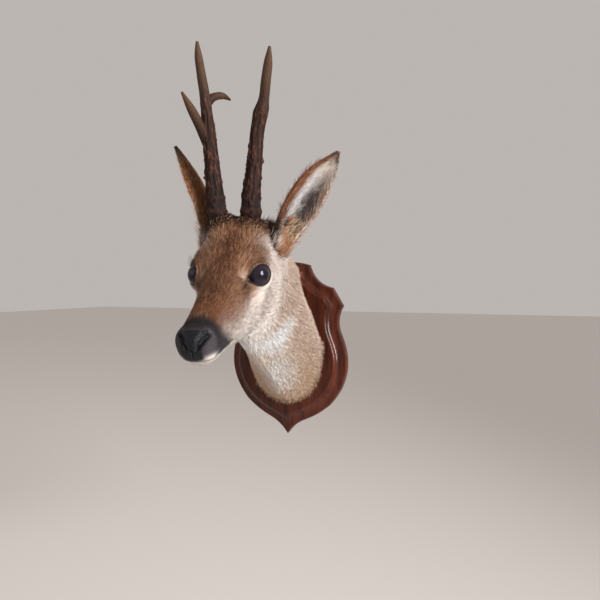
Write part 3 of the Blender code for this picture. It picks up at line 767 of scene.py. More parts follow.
def neck_layers(at, low, across, patchy, mottled):
    """Fawn, darker on the nape and paler below, with ochre flanks, an ash oval down the front, a
    warm fringe by the board and a white patch in the throat."""
    beneath = soft_step(low, 0.52, 0.72)
    lower = np.exp(-(((at - 1.45) / 0.60) ** 2)) * soft_step(low, 0.56, 0.74)
    beside = soft_step(np.abs(across - 0.006), 0.014, 0.026)
    flank = np.exp(-(((at - 2.4) / 1.3) ** 2)) * beside * beneath
    ash = np.exp(-(((at - 2.9) / 0.9) ** 2) - ((across - 0.007) / 0.016) ** 2) * beneath
    ahead = at - 5.12 + 3.05 * (1 - low) + 0.05 * mottled
    reach = np.interp(low, [0.63, 0.80, 0.98], [0.05, 0.75, 0.30])
    throat = soft_step(ahead + reach, -0.16, 0.14) * soft_step(ahead, 0.55, 0.15)
    return [
        (NAPE, soft_step(low + 0.04 * patchy, 0.36, 0.08)),
        (UNDER, soft_step(low + 0.05 * patchy, 0.60, 0.85)),
        (OCHRE, np.clip(lower + 0.45 * flank, 0, 1) * (0.72 + 0.25 * mottled)),
        (ASH, 1.3 * ash * (0.85 + 0.3 * mottled)),
        (FRINGE, soft_step(at + 0.12 * mottled, 1.45, 0.85) * 0.8),
        (CREAM, soft_step(at, 4.9, 6.0) * soft_step(low, 0.12, 0.30)),
        (PALE_JAW, soft_step(at, 4.6, 5.6) * soft_step(low, 0.62, 0.80)),
        (WHITE_THROAT, throat * soft_step(low, 0.59, 0.67)),
    ]


def brown_layers(place, head, patchy, mottled, streaky):
    """Red-brown down the face, with paler sides, a dark middle streak, ticking, and the marks round
    the eye, among them a pale spot at the inner corner: pale hair with a painted highlight of the wet
    corner."""
    back, up, side = place[..., 0], place[..., 1], np.abs(place[..., 2])
    above = up - np.interp(back, *BROWN_FROM.T) + 0.0020 * patchy + 0.0022 * streaky
    fade = 0.0095 + 0.0050 * soft_step(back, 0.10, 0.06) + 0.0070 * soft_step(back, 0.115, 0.140)
    brown = soft_step(above / fade, -1.15, 1.15) * head
    aside = soft_step(side, 0.004, 0.019) * soft_step(back, 0.045, 0.065)
    aside = aside * soft_step(back, 0.185, 0.155)
    streak = np.exp(-((side / 0.0085) ** 2)) * soft_step(back, 0.030, 0.050)
    streak = streak * soft_step(back, 0.16, 0.13)
    left = place[..., 2] > 0
    return [
        (STRAY, head * soft_step(streaky + 0.5 * patchy, 0.6, 1.6) * 0.45),
        (RED_BROWN, brown),
        (TAWNY, brown * aside * (0.80 + 0.20 * streaky)),
        (DARK_STREAK, dab(place, (0.116, 0.0485, 0.031), (0.010, 0.0055, 0.009)) * 0.6),
        (DARK_STREAK, brown * streak * (0.7 + 0.4 * mottled)),
        (TICK, brown * soft_step(streaky + 0.4 * mottled, 0.6, 1.5) * 0.6),
        *[(STROKE_BROWN, near_curve(place, np.array(knots), STROKE_WIDTHS) * 0.8) for knots in STROKES],
        (TEAR, dab(place, (0.0925, 0.0258, 0.0215), (0.0095, 0.0064, 0.012)) * 1.5),
        # A pale spot above the eye's inner corner: pale hair, and a painted highlight of the wet corner.
        (PALE_CORNER_AND_HIGHLIGHT, dab(place, (0.0975, 0.0375, 0.0205), (0.0045, 0.0045, 0.0050)) * 0.9),
        (EYE_CORNER, dab(place, (0.1000, 0.0325, 0.0240), (0.0045, 0.0026, 0.0060)) * left),
    ]


def nose_layers(place, head, mottled, streaky):
    """The dark band behind the nose, with a painted highlight above each nostril, the white lips and
    chin, and the soot between the antlers and before the ears."""
    back, up, side = place[..., 0], place[..., 1], np.abs(place[..., 2])
    edge = np.interp(up, *SMOKE_TO.T)
    band = soft_step(back + 0.0008 * mottled + 0.0016 * streaky, edge + 0.0085, edge - 0.0070) * head
    # Beside the top of the nostril the band is not deepened, which leaves room for the painted
    # highlight.
    beside = soft_step(side, 0.0085, 0.0125) * soft_step(up, 0.017, 0.011)
    by_nose = soft_step(back, 0.027, 0.013) * (1 - beside)
    below = mouth_height(back) - up
    crown = dab(place, (0.166, 0.080, 0.014), (0.010, 0.018, 0.020))
    return [
        (SMOKE, band),
        (SMOKE_ABOVE, band * soft_step(side, 0.016, 0.006) * soft_step(up, 0.004, 0.014) * 0.8),
        (SMOKE_BY_NOSE, band * by_nose * 0.65),
        # A paler blue-grey patch above the nostril: a painted highlight.
        (NOSE_TOP_HIGHLIGHT, dab(place, (0.010, 0.0168, 0.0125), (0.006, 0.0028, 0.005)) * 0.5),
        (MILK, soft_step(below, 0.0002, 0.0014) * soft_step(back, 0.085, 0.060) * head),
        (MILK, dab(place, (0.0085, -0.0048, 0.0108), (0.0065, 0.0030, 0.006)) * 1.5),
        (CROWN_BROWN, crown * (0.8 + 0.6 * mottled)),
        (SOOT, dab(place, (0.164, 0.084, 0.018), (0.010, 0.016, 0.014)) * 1.6),
        (SOOT, dab(place, (0.174, 0.062, 0.033), (0.011, 0.010, 0.007)) * 0.9),
    ]


def markings(at, low, place, spot, flow):
    """Colours of the coat: at is the station, low runs from 0 on top to 1 underneath, place is the
    place of the head, spot the point in the frame and flow the place along and round the skin."""
    patchy, mottled = ripple(spot, 0.024, 11), ripple(spot, 0.006, 12)
    streaky, head = ripple(flow, 0.075, 13), soft_step(at, 5.7, 6.7)
    coat = painted(plain(FAWN, at.shape), neck_layers(at, low, place[..., 2], patchy, mottled))
    coat = painted(coat, brown_layers(place, head, patchy, mottled, streaky))
    return painted(coat, nose_layers(place, head, mottled, streaky))


def bare_nose(place):
    """1 on the bare black skin round the nostrils and over the front of the nose."""
    back, up, side = place[..., 0], place[..., 1], np.abs(place[..., 2])
    reach = 0.0120 - 0.0060 * soft_step(up, 0.012, 0.020) + 0.0030 * soft_step(side, 0.006, 0.012)
    lip = -0.0044 + 0.70 * np.clip(back - 0.003, 0, 1)
    edge = np.interp(up, [-0.002, 0.005, 0.010, 0.016], [0.0085, 0.0085, 0.0098, 0.0118])
    front = soft_step(back, reach + 0.0012, reach - 0.0012)
    front = front * soft_step(side, edge + 0.0010, edge - 0.0010)
    return front * soft_step(up, lip - 0.0008, lip + 0.0008)


low = np.abs((form["turn"] + math.pi) % (2 * math.pi) - math.pi) / math.pi
low = np.broadcast_to(low[None, :], form["grid"].shape[:2])
stations = np.broadcast_to(form["at"][:, None], low.shape)
form["coat_colour"] = markings(stations, low, form["place"], form["grid"], form["flow"])
form["bare"] = np.clip(bare_nose(form["place"]) + form["nostril"], 0, 1)
dark = np.clip(np.maximum(form["rim"], form["nostril"]), 0, 1)
form["skin_colour"] = painted(form["coat_colour"], [(NOSE_BLACK, form["bare"]), (RIM_BLACK, dark)])

# %% [markdown]
# ## The ears
# An ear is a leaf curled into a cup. A section across it is a thin crescent, an outer arc from
# edge to edge and an inner arc back, and the crescents are carried along a leaning line from root
# to tip. The edges are made to wave a little, as dried ears do.

# %% Shells of the ears
EARS = {
    "left": ((0.180, 0.049, 0.030), (0.209, 0.1450, 0.1050), (-0.58, -0.08, 0.81)),
    "right": ((0.180, 0.050, -0.024), (0.214, 0.1575, -0.0765), (-0.05, 0.05, -0.99)),
}
EAR_HALF_WIDTHS = [0.0120, 0.0175, 0.0240, 0.0272, 0.0242, 0.0168, 0.0038]
EAR_WRAPS = np.radians([140, 92, 66, 56, 52, 50, 48])
EAR_LEAN, EAR_ROWS, EAR_ARC, EAR_THICKNESS, EAR_COAT = 0.010, 64, 32, 0.0022, 0.0012


def direction(back, up, side):
    """A way in the head's axes, turned into the frame: from one place of the head to the next."""
    start = placed(0.15, 0.0, 0.0)
    return unit(placed(0.15 + 0.01 * back, 0.01 * up, 0.01 * side) - start)


def ear_shell(name):
    """Crescents carried along the ear. The arc's radius is half the width over sin(wrap), and its
    middle leans back by lean * sin(pi * share)."""
    root, tip, opening = EARS[name]
    root, tip = placed(*root), placed(*tip)
    axis = unit(tip - root)
    open_way = direction(*opening)
    open_way = unit(open_way - axis * (open_way @ axis))
    across = np.cross(axis, open_way)
    share = np.linspace(0.0, 1.0, EAR_ROWS)
    knots = np.linspace(0.0, 1.0, len(EAR_HALF_WIDTHS))
    half = curve_through(knots, EAR_HALF_WIDTHS, share)
    wrap = curve_through(knots, EAR_WRAPS, share)
    radius = half / np.sin(np.minimum(wrap, math.pi / 2))
    lean = radius - EAR_LEAN * np.sin(math.pi * share)
    centre = root + share[:, None] * (tip - root) + open_way * lean[:, None]
    turn = np.linspace(-1.0, 1.0, EAR_ARC)
    angle = wrap[:, None] * turn
    around = np.sin(angle)[..., None] * across - np.cos(angle)[..., None] * open_way
    wave = 0.0011 * turn**4 * np.sin(14 * share[:, None] + 2.2 * turn) + 0.0004 * np.sin(9 * angle)
    outer = radius[:, None] - EAR_COAT + wave
    thick = np.minimum(EAR_THICKNESS, radius * 0.4)[:, None] * np.cos(turn * 1.35) ** 0.8
    ridges = 0.0007 * np.cos(9 * math.pi * turn / 2) * (1 - turn**2)
    ridges = ridges * soft_step(share, 0.85, 0.4)[:, None]
    inner = outer - thick - ridges
    front, back = (centre[:, None] + wall[..., None] * around for wall in (inner, outer))
    return np.concatenate([back, front[:, ::-1]], 1), share, np.concatenate([turn, turn[::-1]])


# %% Colours of the ears
EAR_BACK, EAR_STREAK, EAR_EDGE = (128, 82, 52), (164, 112, 74), (80, 50, 34)
EAR_TIP, EAR_REAR_EDGE = (58, 40, 32), (168, 118, 80)
EAR_INSIDE, EAR_WHITE, EAR_DARK = (196, 184, 174), (222, 224, 228), (58, 45, 42)
EAR_PALE_EDGE, EAR_ROOT, EAR_ROOT_PALE = (222, 208, 194), (176, 130, 94), (230, 208, 182)
EAR_ROLL, EAR_ROLL_DARK, EAR_TIP_INSIDE = (112, 68, 45), (58, 36, 28), (84, 54, 40)


def ear_colours(share, turn, spot, flow):
    """Brown behind with dark edges and tip. Inside, white in the middle, a dark patch low down by
    the back edge, a brown roll along the front edge, and warm and pale hair at the root."""
    inside = np.arange(2 * EAR_ARC)[None, :] >= EAR_ARC
    share, turn = np.broadcast_arrays(share[:, None], turn[None, :])
    mottled, streaky = ripple(spot, 0.008, 21), ripple(flow, 0.075, 22)
    edge, front = soft_step(np.abs(turn), 0.72, 1.0), -turn
    behind = painted(plain(EAR_BACK, share.shape), [
        (EAR_STREAK, soft_step(streaky, 0.2, 1.4) * 0.5),
        (EAR_EDGE, np.clip(edge + 0.3 * mottled, 0, 1) * 0.6),
        (EAR_TIP, soft_step(share, 0.84, 0.95)),
        (SOOT, soft_step(share, 0.34, 0.14) * soft_step(front, 0.0, 0.7) * 0.9),
        (EAR_REAR_EDGE, soft_step(front, -0.70, -0.95) * soft_step(share, 0.85, 0.7) * 0.8),
    ])
    middle = np.exp(-(((front + 0.05) / 0.34) ** 2)) * soft_step(share, 0.90, 0.5)
    patch = np.exp(-(((share - 0.44) / 0.27) ** 2) - ((front + 0.66) / 0.36) ** 2)
    root = soft_step(share + 0.03 * streaky, 0.25, 0.14)
    roll = -0.08 + 0.20 * soft_step(share, 0.12, 0.52) + 0.36 * soft_step(share, 0.50, 0.85)
    within = painted(plain(EAR_INSIDE, share.shape), [
        (EAR_WHITE, middle * (0.8 + 0.2 * streaky)),
        (EAR_DARK, patch * (1.75 + 0.6 * streaky + 0.3 * mottled)),
        (EAR_PALE_EDGE, soft_step(front, -0.88, -0.98) * 0.8),
        (EAR_ROOT, root),
        (EAR_ROOT_PALE, root * soft_step(front + 0.2 * mottled, -0.1, -0.5)),
        (EAR_ROLL, soft_step(front + 0.06 * streaky, roll, roll + 0.14)),
        (EAR_ROLL_DARK, soft_step(share, 0.50, 0.15) * soft_step(front, 0.00, 0.35)),
        (EAR_TIP_INSIDE, soft_step(share + 0.02 * mottled, 0.86, 0.95)),
    ])
    return np.where(inside[..., None], within, behind)


def make_ear(name):
    """An ear as arrays: its grid, normals and colours, and its flow (turn, 0, share) * 0.6."""
    grid, share, turn = ear_shell(name)
    normal = grid_normals(grid, EAR_ARC)
    across, along = np.broadcast_arrays(0.6 * turn[None, :], 0.6 * share[:, None])
    flow = np.stack([across, 0 * across, along], -1)
    colour = ear_colours(share, turn, grid, flow)
    return {
        "grid": grid, "normal": normal, "coat_colour": colour,
        "share": share, "turn": turn, "flow": flow,
    }


ears = {name: make_ear(name) for name in EARS}
print("ear grids:", ", ".join(f"{name} {ear['grid'].shape[:2]}" for name, ear in ears.items()))

# %% [markdown]
# ## One skin
# Neck, head, nose and both ears are one mesh of three closed shells. The neck runs into the head
# without a break. Each ear is sunk into the head, and hair that stands round its foot hides where
# they meet. The hide under the coat is short and lies flat, so its finish is streaks of colour and
# bump that run with the hair, and the streaks also darken it on the whole, as painted shade between
# the hairs. The nose is bare: black, pebbled and a little shiny. The streaks need a place on the
# skin that has no seam, so the skin carries (cos turn, sin turn, distance along the body) as its flow.


# %% Finish of the hide
def hide_finish():
    """Hair streaks that multiply the painted colour and darken it on the whole, as painted shade between
    the hairs, and where it is bare, black with pebbles.
    """
    hide = Finish("hide")
    flow = hide.attribute("flow", "Vector")
    bare, rim = hide.attribute("bare"), hide.attribute("rim")
    colour = hide.attribute("skin_colour", "Color")
    streaks = hide.noise(flow, 75.0, 5.0, 0.6)
    # The streak factor runs from 0.62 to 1.12: streaks of hair tone, and painted shade between the
    # hairs.
    shade = hide.mix(streaks, (0.62, 0.60, 0.58), (1.12, 1.12, 1.12))
    furred = hide.mix(1.0, colour, shade, "MULTIPLY")
    pebbles = hide.node("ShaderNodeTexVoronoi", {"feature": "SMOOTH_F1"},
                        {"Vector": hide.place(), "Scale": 1150.0, "Smoothness": 0.4})
    fine = hide.noise(hide.place(), 900.0, 3.0)
    nose = hide.mix(pebbles, (0.006, 0.007, 0.010), (0.002, 0.0025, 0.0035))
    skin = hide.mix(bare.clamped(0.3, 0.8), furred, nose)
    relief = (1 - bare) * streaks + bare * (0.8 - 0.7 * pebbles) + bare * fine * 0.2
    rough = (1 - bare) * 0.75 + bare * (0.30 + 0.16 * fine) - rim * 0.15
    bump = hide.bump(relief, 0.0008, 0.8)
    return hide.shade(Base_Color=skin, Roughness=rough, Normal=bump, Specular_IOR_Level=0.25)


def strip_caps(first, count, rows):
    """Quads that close the two ends of a crescent tube, from the outer arc to the inner one."""
    k = np.arange(count // 2 - 1)
    start = first + np.stack([k, count - 1 - k, count - 2 - k, k + 1], -1)
    return np.concatenate([start, (start + (rows - 1) * count)[:, ::-1]])


# %% Sew the skin
SKIN_VALUES = ("skin_colour", "flow", "bare", "rim")


def build_skin():
    """The tube of neck and head, with its two poles, and after it the shells of the ears. A pole has
    the values of the first or the last point of the tube's grid."""
    rows, columns = form["grid"].shape[:2]
    points = [form["grid"].reshape(-1, 3), form["grid"][0].mean(0)[None], form["tip"][None]]
    tube, *caps = tube_faces(rows, columns)
    faces, first, values = [tube], rows * columns + 2, {}
    for key in SKIN_VALUES:
        body = form[key].reshape(rows * columns, -1)
        values[key] = [body, body[[0, -1]]]
    for ear in ears.values():
        ear_rows, count = ear["grid"].shape[:2]
        size = ear_rows * count
        points.append(ear["grid"].reshape(-1, 3))
        faces += [grid_faces(ear_rows, count, first=first), strip_caps(first, count, ear_rows)]
        furred = np.zeros((size, 1))
        for key, value in zip(SKIN_VALUES, (ear["coat_colour"], ear["flow"], furred, furred)):
            values[key].append(value.reshape(size, -1))
        first += size
    values = {key: np.concatenate(parts).squeeze() for key, parts in values.items()}
    skin = make_piece("skin", np.concatenate(points), faces + caps, hide_finish(), values)
    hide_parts("neck_lower", "neck_upper", "head", "muzzle", "nose_pad", "ear_left", "ear_right")


build_skin()

# %% [markdown]
# ## The coat
# A tuft is a slim spike with three corners at its root, three at its middle and a point: ten
# triangles. About 68,000 of them are sown over the neck. The hair of the head and ears is short, so
# a tuft there has only its root and its point, four triangles, and the head carries about 130,000.
# Each tuft starts at a place on the grid of the skin and follows the grid backwards, from the nose
# towards the board, so it lies along the body and goes with its folds. Its length, width and height
# come from fields over the skin, and slow noise turns neighbours together, which parts the coat
# into locks.


# %% Places between the points of a grid
def between(array, row, column):
    """Values of a grid between its points: bilinear, and the columns close round."""
    rows, columns = array.shape[:2]
    row = np.clip(row, 0, rows - 1.0001)
    i, j = row.astype(int), np.floor(column).astype(int)
    u, v = row - i, column - j
    if array.ndim == 3:
        u, v = u[:, None], v[:, None]
    left, right = j % columns, (j + 1) % columns
    low_row = array[i, left] * (1 - v) + array[i, right] * v
    return low_row * (1 - u) + (array[i + 1, left] * (1 - v) + array[i + 1, right] * v) * u


def cell_areas(grid):
    """Area of each cell of a grid: half the cross product of its diagonals."""
    beside = np.roll(grid, -1, axis=1)
    one, two = beside[1:] - grid[:-1], grid[1:] - beside[:-1]
    return np.linalg.norm(np.cross(one, two), axis=-1) / 2


def scatter(weights, draw):
    """Places on a grid: on average as many in each cell as its weight."""
    total = np.cumsum(weights.ravel())
    count = int(total[-1])
    cell = np.searchsorted(total, (np.arange(count) + draw.random(count)) * total[-1] / count)
    row, column = np.divmod(np.minimum(cell, weights.size - 1), weights.shape[1])
    return row + draw.random(count), column + draw.random(count)


# %% Spikes
TUFT_QUADS = np.array([(0, 1, 4, 3), (1, 2, 5, 4), (2, 0, 3, 5)])
TUFT_POINTS = np.array([(3, 4, 6), (4, 5, 6), (5, 3, 6), (2, 1, 0)])
TUFT_PATCH = np.array([(0, 0), (1, 0), (2, 0), (0, 1), (1, 1), (2, 1), (1, 2)]) / 2
# A tuft's colour is darker at its root than at its point (long tufts 0.84 to 1.05, short ones 0.94 to
# 1.06): painted shade down among the hairs, with some darker underfur.
TUFT_UNDERFUR_AND_SHADE = np.array([0.84, 0.84, 0.84, 0.98, 0.98, 0.98, 1.05])
SHORT_POINTS, SHORT_OF_TUFT = np.array([(0, 1, 3), (1, 2, 3), (2, 0, 3), (2, 1, 0)]), [0, 1, 2, 6]
SHORT_UNDERFUR_AND_SHADE = np.array([0.94, 0.94, 0.94, 1.06])
PATCH_SIZE, MOST_TRIANGLES = 0.0028, 196000


def spikes(root, middle, tip, normal, width, depth):
    """Points of closed slim spikes: at the root and the middle a left, an upper and a right corner,
    the middle ring nearly as wide as the root one, and then the tip."""
    across = unit(np.cross(unit(tip - root), normal)) * (width / 2)[:, None]
    ridge = normal * depth[:, None]
    low = [root - across, root + ridge, root + across]
    high = [middle - 0.8 * across, middle + 0.7 * ridge, middle + 0.8 * across]
    return np.stack([*low, *high, tip], 1)


def coat_finish():
    """Dull hair in the colour that each tuft carries."""
    coat = Finish("coat")
    colour = coat.attribute("coat_colour", "Color")
    return coat.shade(Base_Color=colour, Roughness=0.68, Specular_IOR_Level=0.18)


COAT_FINISH = coat_finish()


def sew(name, points, colour, patch):
    """Makes tufts into pieces, none too large for a mesh to be handled well. A tuft keeps one small
    patch of the unwrap of the skin, at the place of its root."""
    corners, short = points.shape[1], points.shape[1] == 4
    groups = [SHORT_POINTS] if short else [TUFT_QUADS, TUFT_POINTS]
    kept, underfur_and_shade = (SHORT_OF_TUFT, SHORT_UNDERFUR_AND_SHADE) if short else (slice(None), TUFT_UNDERFUR_AND_SHADE)
    order = np.argsort(patch[:, 0], kind="stable")
    parts = math.ceil(len(order) * (4 if short else 10) / MOST_TRIANGLES)
    for number, chosen in enumerate(np.array_split(order, parts), 1):
        along, round_it = patch[chosen].T
        along = (along - along.min()) / (along.max() - along.min())
        here = np.stack([along, round_it], -1) * (1 - PATCH_SIZE)
        first = corners * np.arange(len(chosen))[:, None, None]
        faces = [(first + group).reshape(-1, group.shape[1]) for group in groups]
        # The roots are darkened here: painted shade among the hairs, partly darker underfur.
        tones = np.clip(colour[chosen][:, None] * underfur_and_shade[:, None], 0, 1)
        places = here[:, None] + TUFT_PATCH[kept] * PATCH_SIZE
        title, values = f"{name}_{number}" if parts > 1 else name, {"coat_colour": tones.reshape(-1, 3)}
        piece = make_piece(title, points[chosen], faces, COAT_FINISH, values, places.reshape(-1, 2))


def where(mask, first, second):
    """Colours of the first kind where the mask holds, and of the second elsewhere."""
    return np.where(mask[:, None], first, second)


DUSK = np.array([0.66, 0.58, 0.50])


def varied(colour, strands, draw):
    """Each tuft's own tone: darker or paler than the marking, by exp(spread * chance + a share of
    its strand's noise). Some of the brown ones are ticked pale, and some of the pale ones dusky."""
    light = colour @ np.array([0.3, 0.6, 0.1])
    warm = (colour[:, 0] - colour[:, 2]) / (colour[:, 0] + colour[:, 2] + 1e-6)
    brown = soft_step(light, 0.42, 0.20) * soft_step(warm, 0.30, 0.50)
    chance = draw.normal(size=len(colour))
    toned = colour * np.exp(chance * (0.055 + 0.205 * brown) + strands * (0.05 + 0.17 * brown))[:, None]
    pick = draw.random(len(colour))
    toned = where((pick < 0.14) & (brown > 0.5), paint(toned, TICK, 0.75 + 0 * light), toned)
    return where((pick > 0.94) & (brown < 0.5) & (light > 0.2), toned * DUSK, toned)


# %% Sowing
FOLLOW = ((0.0, None), (0.5, 0.72), (1.0, 1.0))


def off_the_board(root, points, normals):
    """Tufts start in front of the shield. What would reach into it is laid out along its face."""
    face = -BOARD_FACE - 0.0004
    turned = []
    for point, normal in zip(points, normals):
        into = np.clip(point[:, 1] - face, 0, 1)
        outwards = unit(normal * (1, 0, 1))
        point = point + outwards * (0.35 * into)[:, None]
        point[:, 1] = np.minimum(point[:, 1], face)
        turned.append(point)
    return root[:, 1] < -BOARD_FACE - 0.0003, turned


def sow(name, cloth, layers, draw, towards=-1, short=False):
    """Tufts over a surface. "cloth" holds its grid and normals, its colours, and the fields for how
    dense the coat is, how long and wide a tuft is, how high its tip stands and how much it strays.
    A tuft's root, middle and tip follow the grid: run = root's run + towards * share * length."""
    grid, normal = cloth["grid"], cloth["normal"]
    covered = 0.6 * cloth["long"][:-1] * cloth["wide"][:-1]
    row, column = scatter(cell_areas(grid) * layers * cloth["dense"][:-1] / covered, draw)
    count = len(row)

    def at_root(field):
        return between(field, row, column)

    slope = np.gradient(grid, axis=0)
    down = np.linalg.norm(slope, axis=-1)
    beside = np.linalg.norm(np.roll(grid, -1, 1) - grid, axis=-1)
    step_down, step_beside = (np.maximum(at_root(step), 1e-5) for step in (down, beside))
    run = np.concatenate([[0], down.mean(1)[1:]]).cumsum()
    rows = np.arange(len(run))
    here = np.interp(row, rows, run)
    scale = np.interp(row, rows, down.mean(1)) / step_down
    root = at_root(grid)
    length = at_root(cloth["long"]) * draw.uniform(0.75, 1.2, count)
    width = at_root(cloth["wide"]) * draw.uniform(0.75, 1.25, count)
    strands = ripple(at_root(cloth["flow"]), 0.055, 34)
    high = at_root(cloth["high"]) * draw.uniform(0.35, 1.0, count) * (1 + 0.25 * strands)
    drift = 0.20 * ripple(root, 0.007, 31) + 0.10 * ripple(root, 0.025, 32)
    lean = at_root(cloth["lean"]) + at_root(cloth["stray"]) * (drift + 0.10 * draw.normal(size=count))
    sideways = lean * length / step_beside
    points, normals = [], []
    for share, height in FOLLOW:
        height = -0.0003 / np.maximum(high, 1e-4) if height is None else height
        wanted = here + towards * share * length * scale
        spot = np.interp(wanted, run, rows), column + share * sideways
        left_over = np.clip(run[0] - wanted, 0, 1) + np.clip(wanted - run[-1], 0, 1)
        up = unit(between(normal, *spot))
        ahead = towards * unit(between(slope, *spot))
        point = between(grid, *spot) + up * (height * high)[:, None]
        points.append(point + ahead * (left_over / scale)[:, None])
        normals.append(up)
    keep = np.ones(count, bool)
    if towards < 0:
        keep, points = off_the_board(root, points, normals)
    tufts = spikes(*points, unit(normals[0] + normals[2]), width, 0.3 * width)
    if short:
        tufts = tufts[:, SHORT_OF_TUFT]
    shift = 0.35 * length * draw.normal(size=(2, count))
    source = np.clip(row + shift[0] / step_down, 0, None), column + shift[1] / step_beside
    colour = varied(between(cloth["coat_colour"], *source), strands, draw)
    patch = np.stack([here / run[-1], (column / grid.shape[1]) % 1.0], -1)
    sew(name, tufts[keep], colour[keep], patch[keep])


# %% Fields of the neck and head
def eye_margin(place):
    """Degrees beyond the lids' edge of the nearer eye, and 90 far from both."""
    margins = []
    for sign in (1, -1):
        distance, away, round_it = eye_angles(place, sign)
        beyond = np.degrees(away - almond(round_it, sign))
        margins.append(np.where(distance < 0.028, beyond, 90.0))
    return np.minimum(*margins)


CLOTH_KEYS = ("grid", "normal", "flow", "coat_colour")
ANTLER_FEET, FOOT_BACK = (0.0155, -0.0225), 0.1655


def body_cloth():
    """The fields of the coat over the neck and head, for sow. The antlers' feet stay free of it."""
    at, place, turn = stations, form["place"], np.broadcast_to(form["turn"], low.shape)
    knots = [0, 2, 4, 5.3, 6, 8, 10, 12, 13, 14, 15, 15.6, 16]
    lengths = [14, 15, 14, 12, 10, 8.5, 7.0, 5.6, 4.6, 3.4, 2.3, 1.6, 1.2]
    long = np.interp(at, knots, lengths) / 1000
    long = long * (1 + 0.12 * ripple(form["grid"], 0.03, 33))
    beyond = eye_margin(place)
    ahead = soft_step(place[..., 0], EYE_CENTRE[0], EYE_CENTRE[0] - 0.008)
    long = np.minimum(long, 0.0006 + (0.013 - 0.007 * ahead) * np.radians(np.clip(beyond - 5, 0, 90)))
    dense = (1 - form["bare"]) * (1 - form["rim"]) * (1 - 0.8 * form["mouth"])
    for side in ANTLER_FEET:
        gap = np.hypot(place[..., 0] - FOOT_BACK, place[..., 2] - side)
        dense = dense * np.where(place[..., 1] > 0.05, soft_step(gap, 0.0085, 0.0105), 1.0)
    cheek = soft_step(at, 6.5, 8.5) * soft_step(low, 0.30, 0.5) * soft_step(low, 0.92, 0.75)
    cheek = cheek * soft_step(at, 15, 13)
    return {
        **{key: form[key] for key in CLOTH_KEYS},
        "dense": dense, "long": long, "wide": 0.00010 + np.interp(at, [6, 9], [0.027, 0.044]) * long,
        "high": coat_depth(at) * 1.22 * np.clip(long / 0.003, 0.25, 1.0),
        "lean": 0.30 * cheek * np.sign(np.sin(turn)), "stray": 0.7 + 0 * long,
    }


cloth = body_cloth()
FEWER = 1.0
forwards = soft_step(stations, 7.6, 10.2)
on_neck = {**cloth, "dense": cloth["dense"] * (1 - forwards)}
on_head = {**cloth, "dense": cloth["dense"] * forwards}
sow("coat_neck", on_neck, 2.2 * FEWER, np.random.default_rng(5))
sow("coat_head", on_head, 3.0 * FEWER, np.random.default_rng(15), short=True)

# %% [markdown]
# ## Crown, lashes and ear hair
# Round the feet of the antlers the hair stands up in dark curls, some of them golden or pale. Ears
# carry short hair behind, longer hair inside that sweeps in from the edges, a tuft at the root and
# a thin fringe. The lids have a row of dark lashes.

# %% Upstanding tufts
CROWN_DARK, CROWN_GOLD, CROWN_PALE = (34, 23, 21), (150, 100, 68), (214, 188, 156)
LASH_BLACK = (26, 20, 18)
EAR_HAIR, EAR_HAIR_PALE, EAR_HAIR_DARK = (194, 144, 102), (232, 208, 176), (92, 58, 42)
COLLAR_WARM, COLLAR_DARK = (156, 112, 82), (48, 31, 25)


def side_of(name):
    """1 on the left and -1 on the right."""
    return -1 if "right" in name else 1


def stand(root, first_way, second_way, length, width, normal):
    """Spikes that bend: half their length goes the first way, and the other half the second."""
    middle = root + unit(first_way) * (0.5 * length)[:, None]
    tip = middle + unit(second_way) * (0.5 * length)[:, None]
    return spikes(root, middle, tip, normal, width, 0.4 * width)


def roots(surface, row, column):
    """Where hairs start on the grid of a surface, and the way out of it there."""
    return between(surface["grid"], row, column), unit(between(surface["normal"], row, column))


def along_grid(surface, row, column):
    """The way from row to row of a surface's grid, at places on it."""
    return unit(between(np.gradient(surface["grid"], axis=0), row, column))


def sunk(tufts, up):
    """Tufts whose roots are pushed a millimetre into the skin."""
    tufts[:, :3] -= up[:, None] * 0.001
    return tufts


def patches_of(surface, row, column):
    """Places on the unwrap of a surface: shares of its rows and of its columns."""
    rows, columns = surface["grid"].shape[:2]
    return np.stack([row / rows, column / columns], -1)


def crown_tufts(draw):
    """Short curls round the antlers' feet. They stand up, and lean a way that slow noise chooses.
    Near an antler they are nearly black, further off they have the forehead's colours, and every
    third one is golden or pale."""
    field = dab(form["place"], (0.164, 0.082, 0.018), (0.014, 0.024, 0.018))
    weights = cell_areas(form["grid"]) * 2.6e6 * soft_step(field, 0.08, 0.75)[:-1]
    row, column = scatter(weights * (cloth["dense"][:-1] > 0.5), draw)
    count = len(row)
    root, up = roots(form, row, column)
    lie = unit(between(form["lie"], row, column))
    near = between(field, row, column)
    slow = np.stack([ripple(root, 0.006, seed) for seed in (40, 41, 42)], -1)
    drift = unit(draw.normal(size=(count, 3)) + 0.9 * slow)
    curl = np.cross(up, drift)
    length = draw.uniform(0.0045, 0.0080, count) + 0.006 * near**2
    first = 0.5 * up + (0.2 + 0.4 * near)[:, None] * up + 0.4 * lie + 0.6 * drift
    second = 0.2 * up + 0.4 * lie + 1.1 * curl
    tufts = sunk(stand(root, first, second, length, 0.0007 + 0 * length, drift), up)
    pick = draw.random(count) + 0.10 * ripple(root, 0.005, 44)
    colour = between(form["coat_colour"], row, column)
    colour = paint(colour, CROWN_DARK, 0.97 * soft_step(near, 0.08, 0.5))
    colour = where(pick < 0.26, paint(colour, CROWN_GOLD, 0.8 - 0.3 * near), colour)
    colour = where(pick > 0.93, paint(colour, CROWN_PALE, 0.8 + 0 * length), colour)
    colour = colour * draw.uniform(0.7, 1.2, (count, 1))
    sew("crown", tufts, colour, patches_of(form, row, column))


